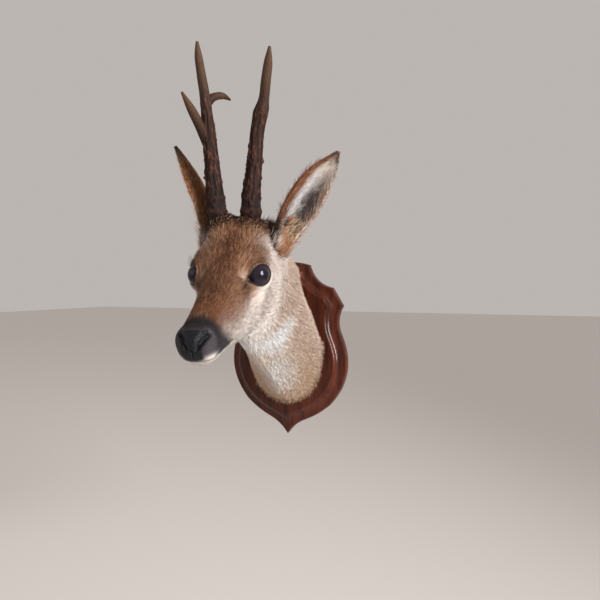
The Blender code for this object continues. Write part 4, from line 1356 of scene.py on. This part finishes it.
def lashes(name, sign, draw, long, count=34):
    """Dark hairs along the upper lid's edge, which leave it outwards and curl up."""
    ahead, above = across_eye()
    round_it = np.radians(np.linspace(28, 158, count) + draw.normal(size=count))
    away = almond(round_it, sign) + math.radians(4)
    ring = np.cos(round_it)[:, None] * ahead + np.sin(round_it)[:, None] * above
    out = np.cos(away)[:, None] * EYE_AXIS + np.sin(away)[:, None] * ring
    mirror = np.array([1, 1, sign])
    start = EYE_CENTRE + out * (EYE_RADIUS + 0.0009)
    length = long * (1 + np.sin(round_it) ** 2) * draw.uniform(0.7, 1.3, count)
    first = unit(out + 0.55 * ring)
    second = unit(0.55 * out + ring + np.array([0.15, 0.35, 0.0]))
    middle = start + first * (0.5 * length)[:, None]
    tip = middle + second * (0.5 * length)[:, None]
    root, middle, tip = (placed(*(point * mirror).T) for point in (start, middle, tip))
    width, outwards = np.full(count, 0.00032), unit(middle - placed(*(EYE_CENTRE * mirror)))
    tufts = spikes(root, middle, tip, outwards, width, 0.5 * width)
    in_line = np.stack([np.linspace(0, 1, count), 0 * length], -1)
    sew(name, tufts, plain(LASH_BLACK, (count,)), in_line)


crown_tufts(np.random.default_rng(6))
lashes("lashes_left", 1, np.random.default_rng(7), 0.0035)
lashes("lashes_right", -1, np.random.default_rng(8), 0.0060)


# %% Hair of the ears
def ear_cloth(ear):
    """The fields of the coat over an ear, for sow. Inside, the hair leans in from both edges."""
    share, turn = np.broadcast_arrays(ear["share"][:, None], ear["turn"][None, :])
    inside = np.broadcast_to(np.arange(2 * EAR_ARC)[None, :] >= EAR_ARC, share.shape)
    long = np.where(inside, 0.0085 + 0.003 * np.abs(turn), 0.0060) * soft_step(share, 1.15, 0.7)
    inward = 0.55 * soft_step(turn, 0.35, 1.0) - 0.55 * soft_step(-turn, 0.35, 1.0)
    return {
        **{key: ear[key] for key in CLOTH_KEYS},
        "dense": np.where(inside, 0.55, 1.0), "long": long, "wide": np.where(inside, 0.00030, 0.00048),
        "high": np.where(inside, 0.0020, 0.0014), "lean": np.where(inside, inward, 0.0),
        "stray": np.where(inside, 1.6, 1.0),
    }


def ear_fringe(name, ear, draw, count=560):
    """Thin hairs along both edges of an ear. They point outwards and towards the tip."""
    share = draw.uniform(0.10, 0.97, count)
    row = share * (EAR_ROWS - 1)
    column = np.where(draw.random(count) < 0.5, 0.0, EAR_ARC - 1.0) + draw.uniform(-0.6, 0.6, count)
    root, out = roots(ear, row, column)
    along, wild = along_grid(ear, row, column), draw.normal(size=(count, 3))
    longer = np.interp(share, [0.1, 0.35, 0.8, 0.9], [2.1, 1.2, 1.0, 0.6])
    length = draw.uniform(0.003, 0.0085, count) * longer
    first, second = out + 0.9 * along + 0.20 * wild, 0.6 * out + along + 0.3 * wild
    tufts = stand(root, first, second, length, np.full(count, 0.00028), np.cross(along, out))
    colour = between(ear["coat_colour"], row, column) * draw.uniform(0.8, 1.3, (count, 1))
    sew(name, tufts, colour, np.stack([share, (column / (2 * EAR_ARC)) % 1.0], -1))


def ear_tuft(name, ear, draw, count=900):
    """Long warm hair that fills the root of the cup, leaves it outwards and bends up the ear."""
    share = 0.30 * draw.random(count) ** 1.4
    turn = draw.uniform(-0.10, 0.95, count)
    row, column = share * (EAR_ROWS - 1), EAR_ARC + (1 - turn) / 2 * (EAR_ARC - 1)
    beside = np.roll(ear["grid"], 1, axis=1) - np.roll(ear["grid"], -1, axis=1)
    across = unit(between(beside, row, column))
    root, out = roots(ear, row, column)
    along, wild = along_grid(ear, row, column), draw.normal(size=(count, 3))
    length = draw.uniform(0.008, 0.017, count)
    first, second = out + 0.5 * along + 0.25 * wild, 0.4 * out + along + 0.6 * across + 0.25 * wild
    tufts = stand(root, first, second, length, np.full(count, 0.00040), np.cross(along, out))
    colour = plain(EAR_HAIR, (count,))
    colour = paint(colour, EAR_HAIR_PALE, soft_step(turn + 0.4 * draw.normal(size=count), 0.0, 0.5))
    colour = paint(colour, EAR_HAIR_DARK, 0.85 * (draw.random(count) < 0.42))
    colour = colour * draw.uniform(0.75, 1.2, (count, 1))
    sew(name, tufts, colour, np.stack([share, column / (2 * EAR_ARC)], -1))


def ear_collar(name, draw):
    """Hair of the head round the foot of an ear. It stands up and lies against the ear: dark on the
    side of the crown, warm below the opening, and of the coat's own colour elsewhere."""
    root, tip, opening = EARS[name]
    foot, axis = placed(*root), unit(placed(*tip) - placed(*root))
    offset = form["grid"] - foot
    climb = offset @ axis
    aside = offset - climb[..., None] * axis
    gap = np.linalg.norm(aside, axis=-1)
    near_side = form["place"][..., 2] * side_of(name) > 0.008
    field = soft_step(gap, 0.026, 0.016) * soft_step(climb, -0.012, 0.004) * near_side
    weights = cell_areas(form["grid"]) * 2.2e6 * field[:-1]
    row, column = scatter(weights * (cloth["dense"][:-1] > 0.5), draw)
    count = len(row)
    start, up = roots(form, row, column)
    inwards = -unit(between(aside, row, column))
    wild = draw.normal(size=(count, 3))
    length = draw.uniform(0.010, 0.018, count)
    first = 0.5 * up + 0.9 * axis + 0.25 * inwards + 0.18 * wild
    second = axis + 0.10 * inwards + 0.22 * wild
    tufts = sunk(stand(start, first, second, length, np.full(count, 0.00055), inwards), up)
    crownwards = -inwards @ direction(-0.25, 0.55, -0.80 * side_of(name))
    facing = -inwards @ direction(*opening)
    warm = soft_step(facing + 0.2 * wild[:, 0], 0.1, 0.6) * soft_step(crownwards, 0.3, -0.4)
    sooty = soft_step(crownwards + 0.15 * wild[:, 1], -0.10, 0.35)
    colour = between(form["coat_colour"], row, column)
    colour = painted(colour, [(COLLAR_WARM, warm), (COLLAR_DARK, sooty)])
    colour = colour * draw.uniform(0.75, 1.2, (count, 1))
    sew(f"ear_{name}_collar", tufts, colour, patches_of(form, row, column))


for name, ear in ears.items():
    ear_collar(name, np.random.default_rng(12))
    sow(f"ear_{name}_coat", ear_cloth(ear), 3.4 * FEWER, np.random.default_rng(9), towards=1, short=True)
    ear_fringe(f"ear_{name}_fringe", ear, np.random.default_rng(10))
    ear_tuft(f"ear_{name}_tuft", ear, np.random.default_rng(11))

# %% [markdown]
# ## Glass eyes
# A roe's eye is large and almost black. A taxidermist's glass eye is a ball with a slightly raised
# cornea, a long level pupil and a very dark brown iris, all under one clear coat. The iris and the
# pupil are tinted blue-purple, a painted reflection.


# %% Eyes
def glass_finish():
    """A very dark iris with fine fibres, a black pupil and a black rim, under a clear coat. Iris and
    pupil carry a blue-purple tint, a painted reflection.
    """
    glass = Finish("glass eye")
    pupil, rim = glass.attribute("pupil"), glass.attribute("rim")
    fibres = glass.noise(glass.place(), 700.0, 3.0)
    # The blue-purple tint of the iris and the pupil is a painted reflection.
    iris = glass.mix(fibres, (0.010, 0.006, 0.013), (0.020, 0.012, 0.022))
    colour = glass.mix(pupil, iris, (0.004, 0.004, 0.010))
    colour = glass.mix(rim, colour, (0.008, 0.008, 0.012))
    return glass.shade(
        Base_Color=colour, Roughness=0.25, Specular_IOR_Level=0.05, Coat_Weight=0.5, Coat_Roughness=0.02
    )


CORNEA_RISE, CORNEA_REACH = 0.0005, math.radians(30)


def build_eye(name, sign, rows=64, columns=96):
    """A ball whose pole looks out along the eye's axis. The radius swells over the cornea by
    0.5 mm * exp(-(angle / 30 degrees)^4). It carries the masks of the pupil and of the dark rim."""
    ahead, above = across_eye()
    away = np.linspace(0, math.pi, rows + 1)[1:-1, None]
    turn = np.linspace(0, 2 * math.pi, columns, endpoint=False)[None, :]
    radius = EYE_RADIUS + CORNEA_RISE * np.exp(-((away / CORNEA_REACH) ** 4))
    ring = np.cos(turn)[..., None] * ahead + np.sin(turn)[..., None] * above
    out = np.cos(away)[..., None] * EYE_AXIS + np.sin(away)[..., None] * ring
    poles = EYE_CENTRE + EYE_AXIS * np.array([[EYE_RADIUS + CORNEA_RISE], [-EYE_RADIUS]])
    wall = (EYE_CENTRE + radius[..., None] * out).reshape(-1, 3)
    points = placed(*(np.concatenate([wall, poles]) * (1, 1, sign)).T)
    faces = tube_faces(rows - 1, columns)
    if sign * np.linalg.det([ahead, above, EYE_AXIS]) > 0:
        faces = [group[:, ::-1] for group in faces]
    level, upright = np.degrees(away) * np.cos(turn), np.degrees(away) * np.sin(turn)
    pupil = soft_step(np.hypot(level / 25, upright / 15), 1.08, 0.96)
    rim = soft_step(np.degrees(away) + 0 * turn, 40, 48)
    values = {"pupil": np.append(pupil.ravel(), [1, 0]), "rim": np.append(rim.ravel(), [0, 1])}
    eye = make_piece(name, points, faces, GLASS, values)
    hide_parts(name)


GLASS = glass_finish()
build_eye("eye_left", 1)
build_eye("eye_right", -1)

# %% [markdown]
# ## Antlers
# Each antler is a pipe along a smooth line. Its wall is worked: long grooves wander up it and fade
# towards the polished tip, pearls crowd on its lower half, and a knobby coronet stands round its
# foot. It is cut into the same lengths as the solids, and two lengths share the ring they meet at.

# %% Lines of the antlers
STEMS = {
    "antler_right": (
        (0.163, 0.066, 0.0215, 0.0104), (0.166, 0.092, 0.0225, 0.0102), (0.175, 0.144, 0.0255, 0.0074),
        (0.179, 0.170, 0.0268, 0.0068), (0.180, 0.190, 0.0273, 0.0057), (0.180, 0.206, 0.0276, 0.0052),
        (0.179, 0.226, 0.0288, 0.0046), (0.176, 0.243, 0.0288, 0.0036), (0.174, 0.254, 0.0280, 0.0013),
    ),
    "antler_left": (
        (0.163, 0.066, 0.0145, 0.0104), (0.166, 0.092, 0.0155, 0.0102), (0.174, 0.135, 0.0202, 0.0080),
        (0.179, 0.175, 0.0267, 0.0070), (0.180, 0.187, 0.0299, 0.0074), (0.180, 0.197, 0.0333, 0.0056),
        (0.179, 0.2165, 0.0373, 0.0050), (0.177, 0.233, 0.0411, 0.0041), (0.174, 0.2452, 0.0438, 0.0013),
    ),
}
TINES = {
    "antler_right_front_tine": (
        (0.178, 0.159, 0.0285, 0.0060), (0.173, 0.177, 0.0340, 0.0052),
        (0.165, 0.1935, 0.0388, 0.0042), (0.156, 0.2076, 0.0427, 0.0012),
    ),
    "antler_right_rear_tine": (
        (0.179, 0.197, 0.0276, 0.0050), (0.188, 0.2045, 0.0205, 0.0040),
        (0.197, 0.2058, 0.0132, 0.0032), (0.204, 0.2024, 0.0076, 0.0011),
    ),
}
FORKS = {"beam": (0.0, 0.58), "middle": (0.58, 0.75), "tip": (0.75, 1.0)}
PEARLS, PEARL_REACH, CORONET_AT, CORONET_RISE = 260, 0.62, 0.125, 0.0014
STEM_STEPS, RELIEF_RANGE = 400, 0.0022


def antler_wall(name, rows, count, around, rough):
    """A pipe with grooves, pearls and a coronet. The grooves are |sin| ridges round it that wander
    as they climb; a pearl is height * exp(-distance^2) on the wall; the coronet is a ring of knobs."""
    back, up, out, radii = np.array(rows).T
    path = placed(back, up, side_of(name) * out)
    knots = np.concatenate([[0.0], np.linalg.norm(np.diff(path, axis=0), axis=1)]).cumsum()
    share = np.linspace(0, 1, count)
    line, radius = (curve_through(knots, values, share * knots[-1]) for values in (path, radii))
    ahead = unit(np.gradient(line, axis=0))
    guide = np.array([0.0, 1.0, 0.0]) if abs(ahead[:, 2]).min() > 0.6 else np.array([0.0, 0.0, 1.0])
    side = unit(guide - ahead * (ahead @ guide)[:, None])
    other = np.cross(ahead, side)
    turn = np.linspace(0, 2 * math.pi, around, endpoint=False)[None, :]
    climb = share[:, None]
    draw = np.random.default_rng(len(name) + count)
    wander = turn + 0.30 * np.sin(9 * climb + 1) + 0.12 * np.sin(31 * climb + turn)
    finer = np.abs(np.sin(6 * wander + 4 * np.sin(5 * climb)))
    grooves = 0.6 * np.abs(np.sin(3.5 * wander)) + 0.4 * finer
    worn = soft_step(climb, 0.92, 0.55) if rough else 0.25 * soft_step(climb, 0.7, 0.2)
    relief = (grooves - 0.6) * 0.0011 * worn
    if rough:
        pearl_at = PEARL_REACH * draw.random(PEARLS) ** 1.25 + 0.10
        pearl_turn, size = draw.uniform(0, 2 * math.pi, PEARLS), draw.uniform(0.0008, 0.0015, PEARLS)
        rise = (climb[..., None] - pearl_at) * knots[-1]
        across = (turn[..., None] - pearl_turn + math.pi) % (2 * math.pi) - math.pi
        gap = (rise / 1.6) ** 2 + (across * radius[:, None, None]) ** 2
        height = size * draw.uniform(0.5, 1.1, PEARLS) * np.clip(1.35 - pearl_at / PEARL_REACH, 0.35, 1)
        relief = relief + (height * np.exp(-gap / size**2)).sum(-1)
        knobs = 0.65 + 0.35 * np.abs(np.sin(6.5 * turn + 1.3 * np.sin(3 * turn)))
        below = (climb - CORONET_AT) * knots[-1] / 0.0028
        relief = relief + CORONET_RISE * knobs * np.exp(-(below**2))
    ring = np.cos(turn)[..., None] * side[:, None] + np.sin(turn)[..., None] * other[:, None]
    wall = line[:, None] + (radius[:, None] + relief)[..., None] * ring
    return wall, np.broadcast_to(climb, relief.shape), relief


def antler_finish():
    """Dark at the foot and paler to the tip, rubbed pale on the ridges and dark in the grain."""
    antler = Finish("antler")
    climb, relief = antler.attribute("climb"), antler.attribute("relief")
    grain = antler.noise(antler.stretched(antler.place(), (900.0, 900.0, 130.0)), 1.0, 6.0, 0.65)
    blotch = antler.noise(antler.stretched(antler.place(), (160.0, 160.0, 60.0)), 1.0, 3.0)
    dark = antler.mix(blotch.clamped(0.35, 0.7), tone(18, 8, 8), tone(48, 21, 16))
    pale = antler.mix(climb.clamped(0.60, 0.98), tone(50, 29, 20), tone(86, 62, 45))
    body = antler.mix(climb.clamped(0.42, 0.86), dark, pale)
    ridge = relief.clamped(0.48, 0.82) * grain.clamped(0.35, 0.62) * (1 - climb.clamped(0.70, 0.95))
    body = antler.mix(ridge * 0.7, body, tone(112, 70, 52))
    body = antler.mix(grain.clamped(0.30, 0.75) * 0.45, body, tone(26, 16, 13))
    body = antler.mix(climb.clamped(0.12, 0.42), antler.mix(0.6, body, tone(10, 5, 7)), body)
    rough = 0.58 - 0.20 * climb.clamped(0.5, 1.0) + 0.15 * grain
    bump = antler.bump(grain, 0.0010, 0.8)
    return antler.shade(Base_Color=body, Roughness=rough, Normal=bump, Specular_IOR_Level=0.18)


def facing_out(points, faces):
    """The faces, turned round if the volume they enclose comes out negative."""
    volume = 0.0
    for group in faces:
        corner = points[group]
        volume += np.einsum("ij,ij->", corner[:, 0], np.cross(corner[:, 1], corner[:, 2]))
        if group.shape[1] == 4:
            volume += np.einsum("ij,ij->", corner[:, 0], np.cross(corner[:, 2], corner[:, 3]))
    return faces if volume > 0 else [group[:, ::-1] for group in faces]


def antler_piece(name, wall, climb, relief):
    """One length of an antler, closed by a fan at each end. Its relief is carried as 0 to 1."""
    points = np.concatenate([wall.reshape(-1, 3), wall[0].mean(0)[None], wall[-1].mean(0)[None]])
    level = np.clip(0.5 + relief / RELIEF_RANGE, 0, 1)
    values = {
        "climb": np.append(climb.ravel(), climb[[0, -1], 0]), "relief": np.append(level.ravel(), [0, 0]),
    }
    faces = facing_out(points, tube_faces(*wall.shape[:2]))
    piece = make_piece(name, points, faces, ANTLER, values, sharp=70)
    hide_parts(name)
    "antler_tip" if "tip" in name or "tine" in name else "antler"


def build_antlers():
    """The two stems, cut at their forks, and the tines, which begin as pale as a stem's middle."""
    for stem, rows in STEMS.items():
        wall, climb, relief = antler_wall(stem, rows, STEM_STEPS + 1, 72, True)
        for part, (start, end) in FORKS.items():
            cut = slice(round(start * STEM_STEPS), round(end * STEM_STEPS) + 1)
            antler_piece(f"{stem}_{part}", wall[cut], climb[cut], relief[cut])
    for name, rows in TINES.items():
        wall, climb, relief = antler_wall(name, rows, 90, 48, False)
        antler_piece(name, wall, 0.62 + 0.38 * climb, relief)


ANTLER = antler_finish()
build_antlers()

# %% [markdown]
# ## The shield
# The board is moulded mahogany under old varnish. Its outline is a row of arcs: crest, cove,
# chamfered shoulder, waist, belly and an ogee to the point. The moulding's profile is carried
# round it with mitred corners: an upright edge, a nose, a cove, a step and a bead.

# %% Outline and moulding
BOARD_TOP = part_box("shield_board")[1].z
HANGER_LEVEL, POCKET_HALF, POCKET_RADIUS, POCKET_DEPTH = 0.078, 0.0175, 0.0075, 0.0025


def arc(start, end, bulge, steps):
    """Points on a parabola from start to end, bulging to the left of the way."""
    start, end = np.array(start), np.array(end)
    along = end - start
    side = np.array([-along[1], along[0]]) / np.hypot(*along)
    u = np.linspace(0, 1, steps + 1)
    return start + u[:, None] * along + (4 * bulge * u * (1 - u))[:, None] * side


def shield_runs():
    """The arcs of the right half, from the crest to the point, and mirrored back up the left."""
    top = BOARD_TOP
    crest_end, shoulder_top = (0.038, top - 0.0055), (0.078, 0.102)
    shoulder_low, waist_end = (0.0957, 0.0725), (0.0925, 0.025)
    belly_end, ogee_turn, point = (0.0742, -0.0906), (0.030, -0.119), (0.0, -top)
    right = [
        arc((0.0, top), crest_end, 0.0018, 12), arc(crest_end, shoulder_top, -0.0085, 18),
        arc(shoulder_top, shoulder_low, 0.0, 6), arc(shoulder_low, waist_end, -0.006, 18),
        arc(waist_end, belly_end, 0.0185, 34), arc(belly_end, ogee_turn, 0.0022, 14),
        arc(ogee_turn, point, -0.0028, 14),
    ]
    return right + [run[::-1] * (-1, 1) for run in right[::-1]]


def inward_ways(runs):
    """For each point of the outline, how it moves when the outline shrinks by one. A corner moves
    along the line that halves it. Between two corners a point moves straight inwards, and slides
    along its run by a share of what the two corners slide, so that mitres stay clean."""
    ways = []
    along = [unit(np.gradient(run, axis=0)) for run in runs]
    inward = [np.stack([way[:, 1], -way[:, 0]], 1) for way in along]
    for number, run in enumerate(runs):
        before, after = inward[number - 1][-1], inward[(number + 1) % len(runs)][0]
        first, last = inward[number][0], inward[number][-1]
        start = (before + first) / (1 + before @ first)
        end = (after + last) / (1 + after @ last)
        share = np.linspace(0, 1, len(run))
        slide = (start @ along[number][0]) * (1 - share) + (end @ along[number][-1]) * share
        ways.append((inward[number] + slide[:, None] * along[number])[:-1])
    return np.concatenate(ways)


def moulding():
    """(inset, depth): an upright edge with eased corners, a quarter nose, a cove that climbs with
    an S, a small step and a half-round bead, then the flat."""
    depth, edge = BOARD_FACE, 0.0105
    nose = [(0.0, 0.0), (0.0, 0.0008), (0.0, edge - 0.001), (0.0003, edge), (0.0012, edge + 0.0018)]
    nose += [(0.0022, edge + 0.0023), (0.0035, edge + 0.0024)]
    turn = np.linspace(0, math.pi / 2, 14)[1:]
    cove = np.stack([0.0035 + 0.0128 * np.sin(turn), edge + 0.0024 + 0.0064 * (1 - np.cos(turn))], -1)
    bead = np.linspace(0, math.pi, 10)[1:]
    middle = (0.0163 + 0.0207) / 2
    climb = depth - 0.0042 + 0.0042 * np.sin(bead / 2) ** 0.6
    ring = np.stack([middle - 0.0020 * np.cos(bead), climb], -1)
    return np.concatenate([nose, cove, ring, [(0.0213, depth - 0.0002), (0.0220, depth - 0.0002)]])


def pocket_ring(outline):
    """The pocket's rim, one point for each point of the outline, in the same direction from its
    middle. A pocket is a bar with half-round ends."""
    way = unit(outline - (0.0, HANGER_LEVEL))
    c, s = np.abs(way).T
    straight = POCKET_RADIUS / np.maximum(s, 1e-6)
    rounded = POCKET_HALF * c + np.sqrt(np.clip(POCKET_RADIUS**2 - (POCKET_HALF * s) ** 2, 0, 1))
    reach = np.where(straight * c <= POCKET_HALF, straight, rounded)
    return way * reach[:, None] + (0.0, HANGER_LEVEL)


def wood_finish():
    """Grain and pores stretched along the board. Its lines wander, because slow noise shifts them
    sideways by 12 mm times its value."""
    wood = Finish("mahogany")
    place = wood.place()
    bend = wood.noise(wood.stretched(place, (9.0, 9.0, 3.0)), 1.0, 2.0)
    sideways = wood.node("ShaderNodeCombineXYZ", {}, {"X": bend * 0.012})
    grain = wood.node("ShaderNodeVectorMath", {"operation": "ADD"}, {0: place, 1: sideways})
    broad = wood.noise(wood.stretched(grain, (95.0, 60.0, 5.0)), 1.0, 4.0, 0.6)
    fine = wood.noise(wood.stretched(grain, (900.0, 500.0, 22.0)), 1.0, 5.0, 0.7)
    pores = wood.noise(wood.stretched(grain, (1900.0, 1900.0, 90.0)), 1.0, 2.0, 0.5)
    colour = wood.mix(broad.clamped(0.32, 0.68), tone(38, 15, 10), tone(80, 34, 21))
    colour = wood.mix(fine.clamped(0.40, 0.70) * 0.5, colour, tone(102, 50, 31))
    colour = wood.mix(pores.clamped(0.56, 0.66) * 0.6, colour, tone(30, 13, 10))
    rough = 0.26 + 0.12 * fine
    bump = wood.bump(pores * 0.5 + fine * 0.5, 0.00025, 0.35)
    wood.shade(Coat_Weight=0.28, Coat_Roughness=0.08, Specular_IOR_Level=0.15)
    return wood.shade(Base_Color=colour, Roughness=rough, Normal=bump)


def build_shield():
    """The outline carried through the moulding: point = outline + inset * inward way, at its depth.
    The pocket's wall and bottom come first, then the flat back, and the face closes it."""
    runs = shield_runs()
    outline, ways = np.concatenate([run[:-1] for run in runs]), inward_ways(runs)
    count = len(outline)
    rings = []
    for across, depth in moulding():
        flat = outline + across * ways
        rings.append(np.column_stack([flat[:, 0], np.full(count, -depth), flat[:, 1]]))
    rim = pocket_ring(outline)
    hollow = [np.column_stack([rim[:, 0], np.full(count, y), rim[:, 1]]) for y in (-POCKET_DEPTH, 0.0)]
    wall = np.stack([*hollow, *rings])
    ends = [(0.0, -POCKET_DEPTH, HANGER_LEVEL), (0.0, -BOARD_FACE + 0.0002, 0.0)]
    points = np.concatenate([wall.reshape(-1, 3), ends])
    faces = facing_out(points, tube_faces(len(wall), count))
    board = make_piece("shield", points, faces, wood_finish(), sharp=28)
    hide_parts("shield_board")


build_shield()


# %% Hanger
def steel_finish():
    """Brushed steel with warm dull spots."""
    steel = Finish("hanger steel")
    scratch = steel.noise(steel.stretched(steel.place(), (120.0, 900.0, 2500.0)), 1.0, 4.0)
    spots = steel.noise(steel.place(), 260.0, 4.0)
    colour = steel.mix(spots.clamped(0.52, 0.72), tone(150, 148, 142), tone(108, 92, 76))
    rough = 0.30 + 0.25 * scratch
    bump = steel.bump(scratch, 0.0002, 0.4)
    return steel.shade(Base_Color=colour, Metallic=1.0, Roughness=rough, Normal=bump)


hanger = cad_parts["hanger"]
hanger.data.materials.clear()
hanger.data.materials.append(steel_finish())
